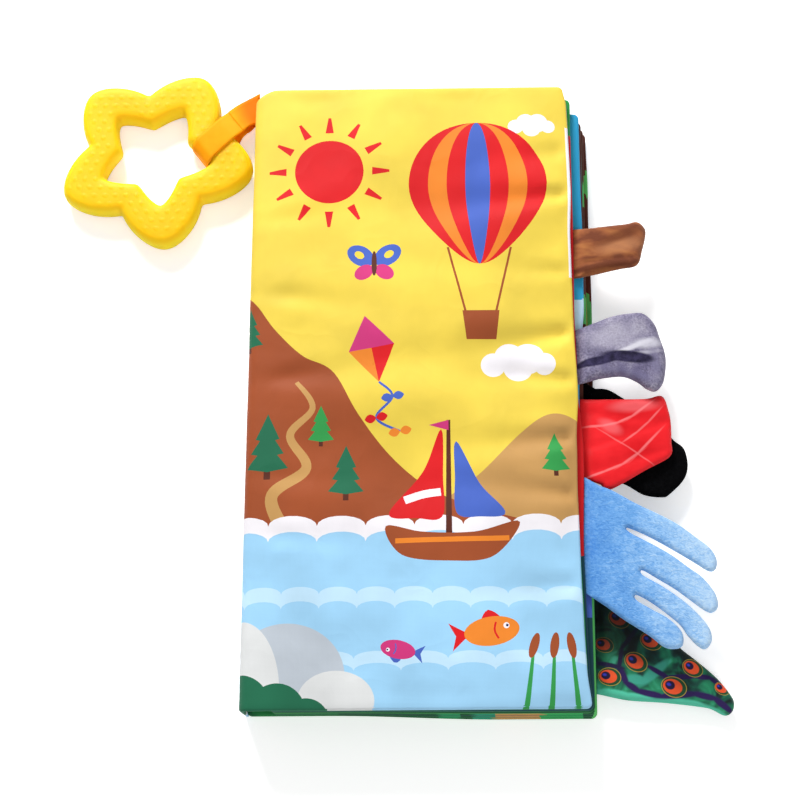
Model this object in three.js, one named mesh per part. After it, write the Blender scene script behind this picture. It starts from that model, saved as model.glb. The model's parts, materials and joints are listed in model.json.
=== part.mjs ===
// A crinkle cloth book lying closed on its back cover, with six sewn-in animal tails along its free
// edge and a star teether on a ribbon at its spine. Millimetres, X from the spine to the free edge,
// Y from the foot of the book to its head, Z up. The origin is on the back cover's outer face, in the
// middle of the front cover's width and height.
import * as THREE from "three";

// Book block
const COVER_WIDTH = 120; // spine fold to the front cover's free edge
const COVER_HEIGHT = 236; // foot to head
const LEAF_COUNT = 4; // padded leaves between the two covers
const PANEL_THICKNESS = 3.2; // one padded cover or leaf
const PANEL_GAP = 0.45; // between two closed panels
const LEAF_REACH = 1.0; // how far the first leaf shows past the front cover's free edge
const REACH_STEP = 0.5; // how much further each panel under it shows
const HEAD_FLARE = 4.0; // how much further the second leaf shows at the head
const FLARE_STEP = 0.7; // how much further each panel under it shows there
const CORNER_RADIUS = 3; // in plan
const FIT_GAP = 0.3; // between two pieces that lie on each other

// Layers of a panel
const CLOTH_THICKNESS = 0.5; // printed polyester with its backing
const FILM_THICKNESS = 0.3; // crackling plastic film, several plies
const RIM_WIDTH = 1.1; // sewn edge of the cloth, seen in plan
const CAVITY_MARGIN = 0.6; // from the sewn edge to the wadding and the film
const EDGE_ROUND = 0.9; // rounding of a panel's edge, in plan and in height
const CROWN_HEIGHT = 0.9; // how far the padding lifts the middle of the front cover
const CROWN_INSET = 12; // how far in from the edge the crown is full
const CROWN_KNEE_INSET_SHARE = 0.4; // of the crown's inset, where the crown bends over
const CROWN_KNEE_RISE_SHARE = 0.6; // of the crown's height there

// The front cover's free edge is drawn in a little at its soft creases
const CREASE_DEPTH = 0.8;
const CREASE_HALF_LENGTH = 5;
const creaseShares = [0.61, 0.14, -0.02, -0.2, -0.38]; // of half the cover's height

// Faceting of the front cover's edge and corners, and of the plain panels'
const COVER_EDGE_STEPS = 24;
const COVER_CORNER_STEPS = 3;
const PLAIN_EDGE_STEPS = 1;
const PLAIN_CORNER_STEPS = 2;
const REACH_SHARE = 0.85; // rings stop this far towards the middle of a narrow stretch

// Spine
const CORE_RADIUS = 3.3; // rolled seam that the cover and the leaves are sewn to
const CORE_SIDES = 20;
const HINGE_DEPTH = 4.6; // hinge line below the front cover's flat top
const PLATE_START = 6; // hinge line to the panels' spine edges
const HEM_THICKNESS = 0.6; // cloth strip between a panel and the rolled seam
const HEM_KNEE = 1.2; // where the strip turns level, before the panel
const HEM_TOP_ANGLE = 40; // degrees, where the front cover's strip meets the seam
const HEM_BOTTOM_ANGLE = -90; // degrees, where the back cover's strip meets the seam
const MITRE_SHARE = 0.5; // least cosine at a bend of a strip, so that its corner stays short
const SPINE_CLEARANCE = 1.2; // between the rolled seam and the spine cloth's top

// Tails
const HINGE_REACH = 1.0; // past the back cover's free edge
const ROOT_THICKNESS = 0.4; // a tail's sewn root, pressed flat between its leaf and the hinge line
const ROOT_CLEARANCE = 0.45; // between a tail and its root, so that it can turn
const TAIL_RIM_WIDTH = 1.0;
const TAIL_EDGE = 0.3; // height of the cloth at a tail's sewn edge
const FILLER_MARGIN = 1.9; // from the tail's sewn edge to its filler
const TAIL_DOME_INSET = 5; // how far in from its edge a tail is full
const FINGER_DOME_INSET = 1.8; // the same where a tail has fingers
const BROWN_TAIL_LENGTH = 19.9; // out from the hinge line
const BROWN_TAIL_WIDTH = 23;
const BROWN_TAIL_THICKNESS = 4;
const GREY_TAIL_LENGTH = 25.3;
const GREY_TAIL_WIDTH = 30;
const GREY_TAIL_THICKNESS = 4.4;
const RED_TAIL_LENGTH = 26.8;
const RED_TAIL_WIDTH = 34;
const RED_TAIL_THICKNESS = 2.2;
const BLACK_TAIL_LENGTH = 32.6;
const BLACK_TAIL_WIDTH = 39;
const BLACK_TAIL_THICKNESS = 3;
const BLUE_TAIL_LENGTH = 40.2;
const BLUE_TAIL_WIDTH = 58;
const BLUE_TAIL_THICKNESS = 2.4;
const EYESPOT_TAIL_LENGTH = 45.2;
const EYESPOT_TAIL_WIDTH = 44;
const EYESPOT_TAIL_THICKNESS = 3;
const DOME_INSET_SHARE = 0.17; // the most that those insets take of a tail's length
const TAIL_HEM_SHARE = 0.5; // widest sewn edge, of the inset at which the dome is full
// Profile of a tail's dome, from its crown to its sewn edge: shares of its inset and of its rise
const domeShares = [
  { inset: 1, rise: 1 },
  { inset: 0.5, rise: 0.74 },
  { inset: 0.2, rise: 0.4 },
  { inset: 0, rise: 0 },
];

// Star teether
const STAR_THICKNESS = 9;
const STAR_LIFT = 0.8; // the ribbon under it holds it this far off the table
const STAR_TIP_RADIUS = 38.8;
const STAR_VALLEY_RADIUS = 26.8;
const HOLE_TIP_RADIUS = 21.4;
const HOLE_VALLEY_RADIUS = 13.6;
const STAR_ROUND = 2.4; // rounding of its edges
const ROUND_STEPS = 2;
const STAR_POINTS = 5;
const STAR_STEPS = 12; // outline points from one tip to the next
const STAR_TURN = 62; // degrees, the direction of its first tip
const STAR_SPINE_GAP = 1.99; // from its nearest tip to the spine fold
const STAR_BELOW_HEAD = 20.8; // the star's centre below the book's head

// Ribbon
const RIBBON_WIDTH = 9.4;
const RIBBON_THICKNESS = 0.5;
const RIBBON_ANGLE = 37; // degrees from X, from the star up to the spine
const RIBBON_PASS = 10.83; // how far the ribbon's middle passes below the star's centre
const LOOP_SIDE_GAP = 0.5; // loop to the star's arm, on the hole's side and on the outer side
const LOOP_TAPER = 3; // length over which the two runs of the ribbon come together
const LOOP_ROUND = 2.6; // inside radius of its folds round the edge of the hole
const LOOP_STEPS = 4;
const STRAP_THICKNESS = 1.0; // two runs of ribbon sewn together
const STRAP_LEAST = 4.5; // the least length of ribbon between the loop and the spine
const STRAP_NECK = 0.8; // doubled ribbon between the loop and the swing line
const TAB_DEPTH = 0.6; // patch on the spine
const TAB_HEIGHT = 5;
const SWING_GAP = 0.7; // patch to the ribbon's swing line at the spine

// Worked-out places
const panelCount = LEAF_COUNT + 2;
const panelPitch = PANEL_THICKNESS + PANEL_GAP;
const stackHeight = panelCount * PANEL_THICKNESS + (panelCount - 1) * PANEL_GAP;
const halfWidth = COVER_WIDTH / 2;
const halfHeight = COVER_HEIGHT / 2;
const hingeX = -halfWidth + CLOTH_THICKNESS + FIT_GAP + CORE_RADIUS;
const hingeZ = stackHeight - HINGE_DEPTH;
const panelLeft = hingeX + PLATE_START;
const hemRadius = CORE_RADIUS + FIT_GAP;

// Height of a panel's middle: panel 0 is the back cover, the last one the front cover.
const panelMiddle = (panel) => PANEL_THICKNESS / 2 + panel * panelPitch;
const leafPanel = (leaf) => LEAF_COUNT + 1 - leaf; // leaf 1 is the first one under the front cover

// A panel's free edge at height y of the book: x = edge + flare * (y + halfHeight) / COVER_HEIGHT.
const frontPanel = panelCount - 1;
const panelEdge = (number) =>
  halfWidth + (number < frontPanel ? LEAF_REACH + REACH_STEP * (leafPanel(1) - number) : 0);
const panelFlare = (number) =>
  number < leafPanel(1) ? HEAD_FLARE + FLARE_STEP * (leafPanel(2) - number) : 0;
const edgeAt = (number, y) =>
  panelEdge(number) + (panelFlare(number) * (y + halfHeight)) / COVER_HEIGHT;

const material = (color, roughness, metalness = 0) =>
  new THREE.MeshStandardMaterial({ color, roughness, metalness });

const PRINTED_YELLOW = "#f3d452";
const PRINTED_BLUE = "#3fa7d8";
const PRINTED_GREEN = "#4fae5e";
const PRINTED_RED = "#d9483b";
const PRINTED_BROWN = "#8a4a2a";
const PRINTED_TEAL = "#2f8f86";
const WADDING_WHITE = "#f4f1ea";
const FILM_CLEAR = "#d9dfe2";
const TEETHER_YELLOW = "#fcd428";
const RIBBON_ORANGE = "#ff9f12";
const CLOTH_ROUGHNESS = 0.75;
const PLUSH_ROUGHNESS = 0.95;
const SATIN_ROUGHNESS = 0.4;
const FILM_ROUGHNESS = 0.3;
const TEETHER_ROUGHNESS = 0.35;

// A named sub-part.
function piece(name, geometry, pieceMaterial) {
  const mesh = new THREE.Mesh(geometry, pieceMaterial);
  mesh.name = name;
  return mesh;
}

// Outward normals of a closed outline that runs counter-clockwise.
function outlineNormals(outline) {
  return outline.map((_, i) => {
    const before = outline[(i + outline.length - 1) % outline.length];
    const after = outline[(i + 1) % outline.length];
    return new THREE.Vector2(after.y - before.y, before.x - after.x).normalize();
  });
}

// For each point of an outline, how far it can move inwards before it meets the far side.
function insetReach(outline, normals) {
  return outline.map((point, i) => {
    let reach = Infinity;
    for (const other of outline) {
      const away = other.clone().sub(point);
      const inwards = -away.dot(normals[i]);
      if (inwards > 0) reach = Math.min(reach, away.lengthSq() / (2 * inwards));
    }
    return reach;
  });
}

// Rings inside an outline, one for each { inset, z } level. Where the outline is too narrow for an
// inset, the ring stops short of its middle.
function outlineRings(outline, levels) {
  const normals = outlineNormals(outline);
  const reach = insetReach(outline, normals);
  return levels.map(({ inset, z }) =>
    outline.map((point, i) => {
      const room = Math.min(inset, REACH_SHARE * reach[i]);
      const moved = point.clone().addScaledVector(normals[i], -room);
      return new THREE.Vector3(moved.x, moved.y, z);
    }),
  );
}

// The same for a dome over base: where the outline is too narrow for fullInset, every ring there is
// inset less and stands lower.
function domeRings(outline, levels, base, fullInset) {
  const normals = outlineNormals(outline);
  const reach = insetReach(outline, normals);
  return levels.map(({ inset, z }) =>
    outline.map((point, i) => {
      const room = Math.min(1, (REACH_SHARE * reach[i]) / fullInset);
      const moved = point.clone().addScaledVector(normals[i], -inset * room);
      const height = (z - base) * (inset > 0 ? Math.sqrt(room) : 1);
      return new THREE.Vector3(moved.x, moved.y, base + height);
    }),
  );
}

// A closed solid: bands between rings of equal length, and a cap on the first and the last ring.
function ringSolid(rings) {
  const count = rings[0].length;
  const index = [];
  for (let r = 0; r < rings.length - 1; r++) {
    for (let i = 0; i < count; i++) {
      const a = r * count + i;
      const b = r * count + ((i + 1) % count);
      index.push(a, a + count, b, b, a + count, b + count);
    }
  }
  const last = (rings.length - 1) * count;
  const flat = (ring) => ring.map((p) => new THREE.Vector2(p.x, p.y));
  for (const [a, b, c] of THREE.ShapeUtils.triangulateShape(flat(rings[0]), [])) {
    index.push(a, b, c);
  }
  for (const [a, b, c] of THREE.ShapeUtils.triangulateShape(flat(rings[rings.length - 1]), [])) {
    index.push(last + a, last + c, last + b);
  }
  const geometry = new THREE.BufferGeometry();
  geometry.setAttribute(
    "position",
    new THREE.Float32BufferAttribute(rings.flat().flatMap((p) => [p.x, p.y, p.z]), 3),
  );
  geometry.setIndex(facesOut(rings, index));
  geometry.computeVertexNormals();
  return geometry;
}

// The triangles, turned round if the solid they bound would be inside out.
function facesOut(rings, index) {
  const points = rings.flat();
  let volume = 0;
  for (let i = 0; i < index.length; i += 3) {
    const [a, b, c] = index.slice(i, i + 3).map((k) => points[k]);
    volume += a.dot(b.clone().cross(c));
  }
  return volume > 0 ? index : index.map((_, i) => index[i - (i % 3) + 2 - (i % 3)]);
}

// A closed solid with a constant section in XZ, from y = from to y = to.
function prismAlongY(section, from, to) {
  const shape = new THREE.Shape(section);
  const geometry = new THREE.ExtrudeGeometry(shape, { depth: to - from, bevelEnabled: false });
  return geometry.rotateX(Math.PI / 2).translate(0, to, 0);
}

// Counter-clockwise outline of a panel with rounded corners; draw(y) moves its free edge in.
function panelOutline(left, right, edgeSteps, cornerSteps, draw = () => 0) {
  const outline = [];
  const corners = [
    [right - CORNER_RADIUS, -halfHeight + CORNER_RADIUS, -Math.PI / 2],
    [right - CORNER_RADIUS, halfHeight - CORNER_RADIUS, 0],
    [left + CORNER_RADIUS, halfHeight - CORNER_RADIUS, Math.PI / 2],
    [left + CORNER_RADIUS, -halfHeight + CORNER_RADIUS, Math.PI],
  ];
  corners.forEach(([x, y, start], corner) => {
    for (let i = 0; i <= cornerSteps; i++) {
      const angle = start + (i / cornerSteps) * (Math.PI / 2);
      outline.push(
        new THREE.Vector2(x + CORNER_RADIUS * Math.cos(angle), y + CORNER_RADIUS * Math.sin(angle)),
      );
    }
    const straight = corner % 2 ? 1 : edgeSteps;
    const from = outline[outline.length - 1].clone();
    const next = corners[(corner + 1) % corners.length];
    const turn = new THREE.Vector2(Math.cos(next[2]), Math.sin(next[2]));
    const to = new THREE.Vector2(next[0], next[1]).addScaledVector(turn, CORNER_RADIUS);
    for (let i = 1; i < straight; i++) {
      const point = from.clone().lerp(to, i / straight);
      if (corner === 0) point.x -= draw(point.y);
      outline.push(point);
    }
  });
  return outline;
}

// Rings inside a panel's outline, one for each { inset, z } level, drawn in evenly towards its middle.
function panelRings(outline, levels) {
  const xs = outline.map((point) => point.x);
  const centre = (Math.max(...xs) + Math.min(...xs)) / 2;
  const half = (Math.max(...xs) - Math.min(...xs)) / 2;
  return levels.map(({ inset, z }) =>
    outline.map(
      ({ x, y }) =>
        new THREE.Vector3(
          centre + (x - centre) * (1 - inset / half),
          y * (1 - inset / halfHeight),
          z,
        ),
    ),
  );
}

// How far the soft creases draw the front cover's free edge in at height y of the book.
const creaseDraw = (y) =>
  creaseShares
    .map((share) => CREASE_DEPTH * Math.exp(-(((y - share * halfHeight) / CREASE_HALF_LENGTH) ** 2)))
    .reduce((sum, depth) => sum + depth);

// One printed cloth of a panel: a tray with its sewn rim turned towards the panel's middle.
// side is 1 for the upper cloth and -1 for the lower one.
function panelCloth(outline, middle, side, crown) {
  const seam = middle + (side * FIT_GAP) / 2;
  const face = middle + (side * PANEL_THICKNESS) / 2;
  const ceiling = face - side * CLOTH_THICKNESS;
  const lift = side * crown;
  const crowned = crown > 0;
  const kneeInset = CROWN_KNEE_INSET_SHARE * CROWN_INSET;
  const levels = [
    ...(crowned ? [{ inset: CROWN_INSET, z: face + lift }] : []),
    ...(crowned ? [{ inset: kneeInset, z: face + CROWN_KNEE_RISE_SHARE * lift }] : []),
    { inset: EDGE_ROUND, z: face },
    { inset: 0, z: face - side * EDGE_ROUND },
    { inset: 0, z: seam },
    { inset: RIM_WIDTH, z: seam },
    { inset: RIM_WIDTH, z: ceiling },
    ...(crowned ? [{ inset: CROWN_INSET, z: ceiling + lift }] : []),
  ];
  return ringSolid(panelRings(outline, levels));
}

// A flat sheet that lies inside a panel, with its own crown on top.
function panelSheet(outline, bottom, thickness, crown) {
  const inset = RIM_WIDTH + CAVITY_MARGIN;
  const levels = [
    ...(crown > 0 ? [{ inset: CROWN_INSET, z: bottom + thickness + crown }] : []),
    { inset, z: bottom + thickness },
    { inset, z: bottom },
  ];
  return ringSolid(panelRings(outline, levels));
}

// A cover or leaf: two printed cloths, wadding and crackling film.
function panel(name, upperName, lowerName, number, look) {
  const group = new THREE.Group();
  const isFront = number === frontPanel;
  const left = number === 0 ? -halfWidth + CLOTH_THICKNESS + FIT_GAP : panelLeft;
  const outline = panelOutline(
    left,
    panelEdge(number),
    isFront ? COVER_EDGE_STEPS : PLAIN_EDGE_STEPS,
    isFront ? COVER_CORNER_STEPS : PLAIN_CORNER_STEPS,
    isFront ? creaseDraw : undefined,
  ).map(({ x, y }) => {
    const across = (x - left) / (panelEdge(number) - left);
    return new THREE.Vector2(x + across * (edgeAt(number, y) - panelEdge(number)), y);
  });
  const middle = panelMiddle(number);
  const crown = isFront ? CROWN_HEIGHT : 0;
  const cavityFloor = middle - PANEL_THICKNESS / 2 + CLOTH_THICKNESS + FIT_GAP;
  const waddingFloor = cavityFloor + FILM_THICKNESS + FIT_GAP;
  const waddingThickness = middle + PANEL_THICKNESS / 2 - CLOTH_THICKNESS - FIT_GAP - waddingFloor;
  group.add(
    piece(
      `${name}_${upperName}`,
      panelCloth(outline, middle, 1, crown),
      material(look.upper, CLOTH_ROUGHNESS),
    ),
    piece(
      `${name}_${lowerName}`,
      panelCloth(outline, middle, -1, 0),
      material(look.lower, CLOTH_ROUGHNESS),
    ),
    piece(
      `${name}_crinkle_film`,
      panelSheet(outline, cavityFloor, FILM_THICKNESS, 0),
      material(FILM_CLEAR, FILM_ROUGHNESS),
    ),
    piece(
      `${name}_wadding`,
      panelSheet(outline, waddingFloor, waddingThickness, crown),
      material(WADDING_WHITE, PLUSH_ROUGHNESS),
    ),
    piece(`${name}_spine_hem`, spineHem(number, left), material(look.lower, CLOTH_ROUGHNESS)),
  );
  return group;
}

// The cloth strip that ties a panel to the rolled seam: out from the seam, then level to the panel.
function spineHem(number, left) {
  const share = number / (panelCount - 1);
  const angle = THREE.MathUtils.degToRad(
    HEM_BOTTOM_ANGLE + share * (HEM_TOP_ANGLE - HEM_BOTTOM_ANGLE),
  );
  const middle = panelMiddle(number);
  const knee =
    number === 0
      ? new THREE.Vector2(hingeX, panelTop(number) + FIT_GAP)
      : new THREE.Vector2(panelLeft - HEM_KNEE, middle);
  const path = [
    new THREE.Vector2(hingeX + hemRadius * Math.cos(angle), hingeZ + hemRadius * Math.sin(angle)),
    knee,
  ];
  if (number > 0) path.push(new THREE.Vector2(left - FIT_GAP, middle));
  return prismAlongY(
    thickPath(path, HEM_THICKNESS),
    -halfHeight + CORNER_RADIUS,
    halfHeight - CORNER_RADIUS,
  );
}

const panelTop = (number) => panelMiddle(number) + PANEL_THICKNESS / 2;

// Outline of a path of the given thickness with square ends.
function thickPath(path, thickness) {
  const sideOf = (sign) =>
    path.map((point, i) => {
      const before = path[Math.max(i - 1, 0)];
      const after = path[Math.min(i + 1, path.length - 1)];
      const intoPoint = point.clone().sub(before).normalize();
      const outOfPoint = after.clone().sub(point).normalize();
      const along = intoPoint.clone().add(outOfPoint).normalize();
      const bend = Math.max(along.dot(i ? intoPoint : outOfPoint), MITRE_SHARE);
      const across = new THREE.Vector2(-along.y, along.x).multiplyScalar(
        (sign * thickness) / 2 / bend,
      );
      return point.clone().add(across);
    });
  return [...sideOf(1), ...sideOf(-1).reverse()];
}

// The rolled seam that every panel is sewn to, and the cloth over the spine below it.
function spine() {
  const group = new THREE.Group();
  const section = [];
  for (let i = 0; i < CORE_SIDES; i++) {
    const angle = (2 * Math.PI * i) / CORE_SIDES;
    section.push(
      new THREE.Vector2(
        hingeX + CORE_RADIUS * Math.cos(angle),
        hingeZ + CORE_RADIUS * Math.sin(angle),
      ),
    );
  }
  const clothTop = hingeZ - CORE_RADIUS - SPINE_CLEARANCE;
  const clothSection = [
    new THREE.Vector2(-halfWidth, 0),
    new THREE.Vector2(-halfWidth + CLOTH_THICKNESS, 0),
    new THREE.Vector2(-halfWidth + CLOTH_THICKNESS, clothTop),
    new THREE.Vector2(-halfWidth, clothTop),
  ];
  group.add(
    piece(
      "spine_rolled_seam",
      prismAlongY(section, -halfHeight + CORNER_RADIUS, halfHeight - CORNER_RADIUS),
      material(PRINTED_BROWN, CLOTH_ROUGHNESS),
    ),
    piece(
      "spine_cloth",
      prismAlongY(clothSection, -halfHeight, halfHeight),
      material(PRINTED_BROWN, CLOTH_ROUGHNESS),
    ),
  );
  return group;
}

// Tails. Each outline runs from the head end of its root round the tip to the foot end, as shares of
// the tail's length out from the hinge line and of its width from the root's middle. The root's place
// is a share of half the book's height, and the droop of the tip a share of the tail's length.
const tails = [
  {
    name: "brown_tail",
    leaf: 1,
    placeShare: 0.4237,
    length: BROWN_TAIL_LENGTH,
    width: BROWN_TAIL_WIDTH,
    thickness: BROWN_TAIL_THICKNESS,
    droopShare: 0.140,
    domeInset: TAIL_DOME_INSET,
    steps: 30,
    outlineShares: [
      [0, 0.44], [0.59, 0.52], [0.82, 0.58], [0.95, 0.52], [1, 0.39], [0.91, 0.08], [0.79, -0.19],
      [0.45, -0.28], [0, -0.38],
    ],
    color: "#a8693f",
    roughness: PLUSH_ROUGHNESS,
  },
  {
    name: "grey_tail",
    leaf: 1,
    placeShare: 0.0847,
    length: GREY_TAIL_LENGTH,
    width: GREY_TAIL_WIDTH,
    thickness: GREY_TAIL_THICKNESS,
    droopShare: 0.136,
    domeInset: TAIL_DOME_INSET,
    steps: 34,
    outlineShares: [
      [0, 0.4], [0.24, 0.48], [0.53, 0.53], [0.71, 0.53], [0.86, 0.41], [0.93, 0.23], [0.99, 0.05],
      [1, -0.11], [0.94, -0.35], [0.82, -0.47], [0.69, -0.45], [0.54, -0.36], [0.33, -0.3], [0, -0.33],
    ],
    color: "#9c98b0",
    roughness: PLUSH_ROUGHNESS,
  },
  {
    name: "red_tail",
    leaf: 2,
    placeShare: -0.1864,
    length: RED_TAIL_LENGTH,
    width: RED_TAIL_WIDTH,
    thickness: RED_TAIL_THICKNESS,
    droopShare: 0.079,
    domeInset: TAIL_DOME_INSET,
    steps: 30,
    outlineShares: [
      [0, 0.45], [0.64, 0.46], [0.9, 0.5], [0.98, 0.33], [1, 0.19], [0.99, -0.01], [0.96, -0.17],
      [0.61, -0.33], [0.13, -0.54], [0, -0.49],
    ],
    color: "#e3262b",
    roughness: SATIN_ROUGHNESS,
  },
  {
    name: "black_tail",
    leaf: 3,
    placeShare: -0.1695,
    length: BLACK_TAIL_LENGTH,
    width: BLACK_TAIL_WIDTH,
    thickness: BLACK_TAIL_THICKNESS,
    droopShare: 0.089,
    domeInset: TAIL_DOME_INSET,
    steps: 32,
    outlineShares: [
      [0, 0.48], [0.14, 0.47], [0.3, 0.39], [0.53, 0.25], [0.76, 0.08], [0.86, -0.02], [0.97, -0.1],
      [1, -0.26], [0.94, -0.4], [0.77, -0.54], [0.69, -0.57], [0.48, -0.55], [0.27, -0.45], [0, -0.39],
    ],
    color: "#17161b",
    roughness: PLUSH_ROUGHNESS,
  },
  {
    name: "blue_tail",
    leaf: 1,
    placeShare: -0.5169,
    length: BLUE_TAIL_LENGTH,
    width: BLUE_TAIL_WIDTH,
    thickness: BLUE_TAIL_THICKNESS,
    droopShare: 0.105,
    domeInset: FINGER_DOME_INSET,
    steps: 96,
    outlineShares: [
      [0, 0.36], [0.11, 0.33], [0.31, 0.25], [0.52, 0.18], [0.68, 0.12], [0.84, 0.04], [0.95, -0.02],
      [1, -0.09], [0.98, -0.15], [0.92, -0.16], [0.82, -0.12], [0.7, -0.07], [0.42, 0.04], [0.22, 0.1],
      [0.24, 0.07], [0.4, 0.01], [0.58, -0.06], [0.74, -0.14], [0.86, -0.2], [0.96, -0.29],
      [0.98, -0.37], [0.93, -0.41], [0.86, -0.4], [0.7, -0.32], [0.6, -0.27], [0.48, -0.22],
      [0.33, -0.16], [0.33, -0.19], [0.48, -0.25], [0.61, -0.31], [0.72, -0.37], [0.82, -0.44],
      [0.89, -0.51], [0.9, -0.58], [0.84, -0.63], [0.77, -0.61], [0.69, -0.55], [0.62, -0.48],
      [0.42, -0.37], [0.27, -0.31], [0.26, -0.34], [0.4, -0.4], [0.51, -0.44], [0.61, -0.5],
      [0.65, -0.55], [0.64, -0.61], [0.58, -0.63], [0.48, -0.62], [0.35, -0.55], [0.15, -0.46],
      [0, -0.38],
    ],
    color: "#5b8fd4",
    roughness: PLUSH_ROUGHNESS,
  },
  {
    name: "eyespot_tail",
    leaf: 4,
    placeShare: -0.8305,
    length: EYESPOT_TAIL_LENGTH,
    width: EYESPOT_TAIL_WIDTH,
    thickness: EYESPOT_TAIL_THICKNESS,
    droopShare: 0.034,
    domeInset: TAIL_DOME_INSET,
    steps: 40,
    outlineShares: [
      [0, 0.44], [0.23, 0.37], [0.46, 0.2], [0.62, 0.04], [0.74, -0.06], [0.88, -0.19], [0.97, -0.31],
      [1, -0.38], [0.98, -0.45], [0.92, -0.48], [0.82, -0.43], [0.72, -0.41], [0.46, -0.38],
      [0.19, -0.36], [0, -0.32],
    ],
    color: "#1f6f5c",
    roughness: CLOTH_ROUGHNESS,
  },
];

// Where a tail's root lies along the book, and its two ends about its middle.
const tailY = ({ placeShare }) => placeShare * halfHeight;
const rootEnds = ({ width, outlineShares }) =>
  outlineShares.filter(([out]) => out === 0).map(([, share]) => share * width);

// A tail's hinge line, clear of the back cover's edge all along the root.
const tailHingeX = (look) =>
  edgeAt(0, tailY(look) + Math.max(...rootEnds(look))) + HINGE_REACH;

// A tail's outline in its own frame: X out from its hinge line, Y from the middle of its root.
function tailOutline({ length, width, steps, outlineShares }) {
  const curve = new THREE.CatmullRomCurve3(
    outlineShares.map(([out, across]) => new THREE.Vector3(out * length, across * width, 0)),
    false,
    "centripetal",
  );
  const points = curve.getSpacedPoints(steps).map((p) => new THREE.Vector2(Math.max(p.x, 0), p.y));
  return points.reverse();
}

// One cloth of a tail, domed over its filler; side is 1 for the upper cloth and -1 for the lower one.
function tailCloth(outline, look, side) {
  const { thickness, length } = look;
  const domeInset = Math.min(look.domeInset, DOME_INSET_SHARE * length);
  const seam = FIT_GAP / 2;
  const edge = seam + TAIL_EDGE;
  const crown = thickness / 2;
  const levels = [
    ...domeShares.map(({ inset, rise }) => ({
      inset: inset * domeInset,
      z: edge + rise * (crown - edge),
    })),
    { inset: 0, z: seam },
    { inset: Math.min(TAIL_RIM_WIDTH, TAIL_HEM_SHARE * domeInset), z: seam },
    { inset: domeInset, z: crown - CLOTH_THICKNESS },
  ];
  const rings = domeRings(outline, levels, seam, domeInset);
  rings.flat().forEach((point) => (point.z *= side));
  return ringSolid(rings);
}

// The thin filler between a tail's cloths.
function tailFiller(outline) {
  const inset = TAIL_RIM_WIDTH + FILLER_MARGIN;
  const levels = [
    { inset, z: FILM_THICKNESS / 2 },
    { inset, z: -FILM_THICKNESS / 2 },
  ];
  return ringSolid(outlineRings(outline, levels));
}

// The flat root of a tail, from the sewn edge of its leaf to the hinge line.
function tailRoot(look) {
  const across = rootEnds(look);
  const half = ROOT_THICKNESS / 2;
  const headEnd = tailY(look) + Math.max(...across);
  const start = edgeAt(leafPanel(look.leaf), headEnd) + FIT_GAP - tailHingeX(look);
  const section = [
    new THREE.Vector2(start, -half),
    new THREE.Vector2(-ROOT_CLEARANCE, -half),
    new THREE.Vector2(-ROOT_CLEARANCE, half),
    new THREE.Vector2(start, half),
  ];
  return prismAlongY(section, Math.min(...across), Math.max(...across));
}

// Lets a tail's far end hang by its droop; at the hinge line it stays level.
function drooped(geometry, { length, droopShare }) {
  const position = geometry.getAttribute("position");
  for (let i = 0; i < position.count; i++) {
    const out = position.getX(i) / length;
    position.setZ(i, position.getZ(i) - droopShare * length * out * out);
  }
  geometry.computeVertexNormals();
  return geometry;
}

function tail(look) {
  const group = new THREE.Group();
  group.position.set(tailHingeX(look), tailY(look), panelMiddle(leafPanel(look.leaf)));
  const outline = tailOutline(look);
  const cloth = material(look.color, look.roughness);
  group.add(
    piece(`${look.name}_front_cloth`, drooped(tailCloth(outline, look, 1), look), cloth),
    piece(`${look.name}_back_cloth`, drooped(tailCloth(outline, look, -1), look), cloth.clone()),
    piece(
      `${look.name}_filler`,
      drooped(tailFiller(outline), look),
      material(FILM_CLEAR, FILM_ROUGHNESS),
    ),
    piece(`${look.name}_root`, tailRoot(look), cloth.clone()),
  );
  return group;
}

// Radius of a star outline at an angle from its first tip. Its lobes are rounded over softness, an
// angle in radians, and hollow between tip and valley where power is over 1.
function starRadius(angle, { tip, valley, softness, power }) {
  const lobe = (2 * Math.PI) / STAR_POINTS;
  const fromTip = Math.abs(angle - lobe * Math.round(angle / lobe));
  const fall = Math.hypot(fromTip, softness) - softness;
  const wholeFall = Math.hypot(lobe / 2, softness) - softness;
  return valley + (tip - valley) * (1 - fall / wholeFall) ** power;
}

const outerStar = {
  tip: STAR_TIP_RADIUS,
  valley: STAR_VALLEY_RADIUS,
  softness: 0.13,
  power: 1,
};
const holeStar = {
  tip: HOLE_TIP_RADIUS,
  valley: HOLE_VALLEY_RADIUS,
  softness: 0.05,
  power: 1.5,
};

// A star outline about the star's centre, grown by a length.
function starOutline(star, grow) {
  const steps = STAR_POINTS * STAR_STEPS;
  const outline = [];
  for (let i = 0; i < steps; i++) {
    const angle = (2 * Math.PI * i) / steps;
    const radius = starRadius(angle, star) + grow;
    const turned = angle + THREE.MathUtils.degToRad(STAR_TURN);
    outline.push(new THREE.Vector2(radius * Math.cos(turned), radius * Math.sin(turned)));
  }
  return outline;
}

// How far a star outline reaches along the ribbon's direction, on lines all across the ribbon.
function reachesAlongRibbon(star) {
  const middle = -RIBBON_PASS;
  const half = RIBBON_WIDTH / 2;
  const centre = new THREE.Vector2();
  const turned = starOutline(star, 0).map((point) => point.rotateAround(centre, -ribbonTurn));
  const corners = turned.map((point) => point.y).filter((y) => Math.abs(y - middle) < half);
  const reachOn = (line) => {
    const crossings = turned.map((point, i) => {
      const next = turned[(i + 1) % turned.length];
      const share = (line - point.y) / (next.y - point.y);
      return share >= 0 && share <= 1 ? point.x + share * (next.x - point.x) : -Infinity;
    });
    return Math.max(...crossings);
  };
  return [middle - half, middle + half, ...corners].map(reachOn).filter(Number.isFinite);
}

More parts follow.
